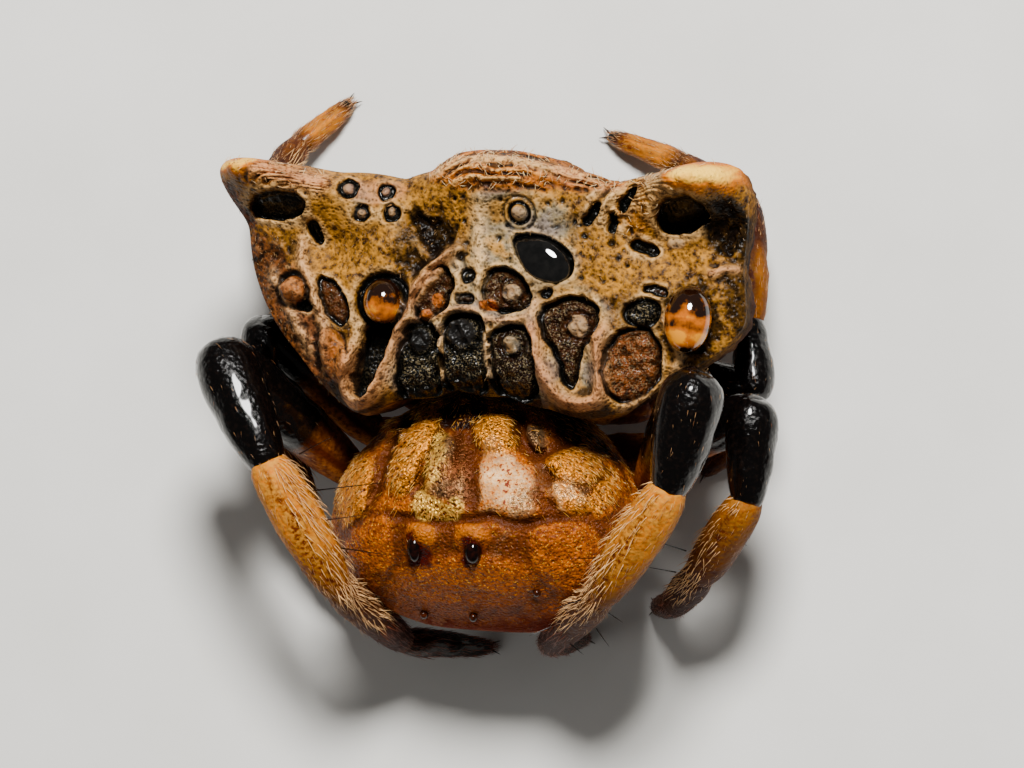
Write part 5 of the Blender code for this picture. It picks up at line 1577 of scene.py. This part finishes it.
def makeLens():
    # The ellipsoid narrows to a point toward its left end.
    material, shader, wire = newMaterial("glassLens", Roughness=0.04, Coat_Weight=1.0, Coat_Roughness=0.02)
    tint = wire.noise(0.15, 3)
    wire.feed(shader, "Base Color", wire.blend(wire.span(tint, 0.4, 0.7), lens["paint"], lens["glow"]))
    points, faces, local = standing(lens)
    axes = onShieldAxes(lens["turn"])
    pinch = lens["tip"] * np.clip(-local[:, 0], 0, 1) ** 1.5 * local[:, 1]
    points = points - axes[1] * (pinch * lens["halfSizes"][1] * layout["mmPerPixel"])[:, None]
    dress(makePiece("glassLens", points, faces, material), "abdomen_cuticle")


def upperShield():
    # The upper face's numbers, points and normals in rows and columns.
    numbers = np.arange(shield["rows"] * shield["columns"]).reshape(shield["rows"], shield["columns"])
    grid = shieldShape[0][numbers]
    return numbers, grid, unit(np.cross(np.gradient(grid, axis=1), np.gradient(grid, axis=0)))


def makeHornCaps():
    # A slab of the shield's own surface over each horn: it stands out by a parabola of the
    # distance to the horn's middle, dips under the skin at its edge and is closed below.
    masks = shieldShape[2]
    numbers, grid, normals = upperShield()
    normals = normals * np.sign(normals[..., 2:])
    for node, (rows, columns) in hornCaps.items():
        kept = numbers[slice(*rows), slice(*columns)]
        patch, outward = grid[slice(*rows), slice(*columns)], normals[slice(*rows), slice(*columns)]
        s, t = np.meshgrid(np.linspace(-1, 1, kept.shape[1]), np.linspace(-1, 1, kept.shape[0]))
        proud = np.maximum(1 - s ** 2, 0) * np.maximum(1 - t ** 2, 0)
        top = patch + outward * (capSizes["proud"] * proud - capSizes["dip"])[..., None]
        low = patch - outward * capSizes["thickness"]
        loop = np.arange(kept.size).reshape(kept.shape)
        quads, border = gridFaces(loop), gridBorder(loop)
        onward = np.roll(border, -1)
        walls = np.column_stack([onward, border, border + kept.size, onward + kept.size])
        shell = np.vstack([top.reshape(-1, 3), low.reshape(-1, 3)])
        capMasks = {name: np.tile(values[kept.ravel()], 2) for name, values in masks.items()}
        faces = facingOut(shell, np.vstack([quads, quads[:, ::-1] + kept.size, walls]).tolist())
        dress(makePiece("cap_" + node, shell, faces, shieldSkin, capMasks), "horn_cuticle", node)


makeBeads()
makeLens()
makeHornCaps()
makeEyes()
print("beads, horns and eyes are in")

# Fine hairs of the shield: pale along its crest and horns, short and dark over the rest

shieldHairs = {  # how many, their lengths in mm, the way they lie, and their material
    "crestHairs": (420, (0.1, 0.22), (0.1, 0.9, 0.2), "paleHair"),
    "shieldHairs": (1500, (0.05, 0.11), (0.0, -1.0, 0.1), "darkHair"),
}


def makeShieldCoat():
    # Crest hairs grow on the amber folds and the horns, the others where there is no pit.
    rng = np.random.default_rng(83)
    numbers, grid, normals = upperShield()
    points, normals = grid.reshape(-1, 3), normals.reshape(-1, 3)
    masks = {name: values[:len(points)] for name, values in shieldShape[2].items()}
    s, t = np.meshgrid(np.linspace(0, 1, shield["columns"]), np.linspace(0, 1, shield["rows"]))
    unwrap = np.column_stack([s.ravel(), t.ravel()])
    bare = 1 - np.clip(masks["pitAndShade"] + masks["silver"], 0, 1)
    growth = {"crestHairs": bare * masks["amber"] * (t.ravel() > 0.5) + 0.3 * masks["hornLitTop"],
              "shieldHairs": bare * (masks["ochre"] + 0.4 * masks["flank"] + 0.25)}
    for name, (hairs, lengths, flow, materialName) in shieldHairs.items():
        density = growth[name]
        picked = rng.choice(len(points), hairs, replace=False, p=density / density.sum())
        rise = rng.uniform(0.3, 0.9, (hairs, 1))
        leans = layAlong(normals[picked], np.array(flow) + 0.5 * rng.normal(size=(hairs, 3)), rise)
        hairCoat(name, points[picked] - 0.01 * normals[picked], leans, -0.4 * rise * normals[picked],
                 rng.uniform(*lengths, hairs), rng.uniform(0.004, 0.007, hairs),
                 rng.uniform(0, 1, hairs), unwrap[picked], hairMaterial(materialName), "abdomen_cuticle")


makeCarapaceCoat(*makeCarapace())
print("carapace is dressed")
makeShieldCoat()
legSkin = legMaterial("legCuticle", legPaint)
legHair = hairMaterial("legHair")
for legName in legs["stance"]:
    makeLeg(legName, legSkin)
makeMouth()
print("legs and mouth parts are dressed")

# Long bristles of the front legs and the claws of every foot

bristles = {  # leg: root and tip in pixels, and their heights in mm
    "leg_r1": (((304, 490), (392, 480), 3.7, 4.3), ((336, 548), (396, 556), 3.3, 4.2),
               ((296, 452), (330, 434), 4.0, 4.4), ((318, 520), (360, 514), 3.5, 4.1),
               ((352, 590), (398, 604), 2.8, 3.4)),
    "leg_l1": (((590, 600), (548, 612), 3.7, 4.2), ((612, 560), (566, 560), 3.9, 4.4),
               ((560, 640), (585, 660), 2.4, 2.6), ((600, 610), (626, 628), 3.2, 3.0),
               ((560, 628), (528, 640), 2.6, 2.8), ((598, 634), (612, 654), 2.2, 2.0)),
    "leg_l2": (((690, 556), (660, 546), 2.4, 2.6), ((680, 578), (650, 572), 2.0, 2.2),
               ((732, 540), (752, 552), 2.6, 2.6)),
}
bristleWidth = 0.014
claws = {"length": 0.16, "radius": 0.02, "spread": 0.35, "apart": 0.04, "onward": 0.06, "lift": 0.03,
         "rise": 0.15, "bend": (0.0, 0.0, -0.75)}


def makeBristles():
    material = hairMaterial("bristle")
    for name, rows in bristles.items():
        roots = np.vstack([fromPixel(row[0], row[2]) for row in rows])
        tips = np.vstack([fromPixel(row[1], row[3]) for row in rows])
        lengths = np.linalg.norm(tips - roots, axis=1)
        leans = unit(tips - roots)
        bends = np.tile((0.0, 0.0, -0.08), (len(rows), 1))
        patches = np.column_stack([np.linspace(0.05, 0.9, len(rows)), np.full(len(rows), 0.5)])
        hairCoat("bristles_" + name, roots, leans, bends, lengths, np.full(len(rows), bristleWidth),
                 np.linspace(0, 1, len(rows)), patches, material, "leg_cuticle", 8)


def makeClaws():
    # A pair of hooks at each foot, bent down from the tarsus.
    roots, leans = [], []
    for stance in legs["stance"].values():
        ends = fromSight(stance)
        onward = unit(ends[4] - ends[3]) * (1, 1, 0.2)
        across = unit(np.cross(onward, (0, 0, 1.0)))
        for side in (-1, 1):
            roots.append(ends[4] + claws["onward"] * onward + claws["apart"] * side * across
                         + (0, 0, claws["lift"]))
            leans.append(unit(onward + claws["spread"] * side * across) + (0, 0, claws["rise"]))
    count = len(roots)
    patches = np.column_stack([np.linspace(0.02, 0.95, count), np.full(count, 0.5)])
    hairCoat("claws", np.array(roots), np.array(leans), np.tile(claws["bend"], (count, 1)),
             np.full(count, claws["length"]), np.full(count, claws["radius"]),
             np.linspace(0, 1, count), patches, hairMaterial("claw"), "leg_cuticle", 8)


makeBristles()
makeClaws()
print("bristles and claws are in")
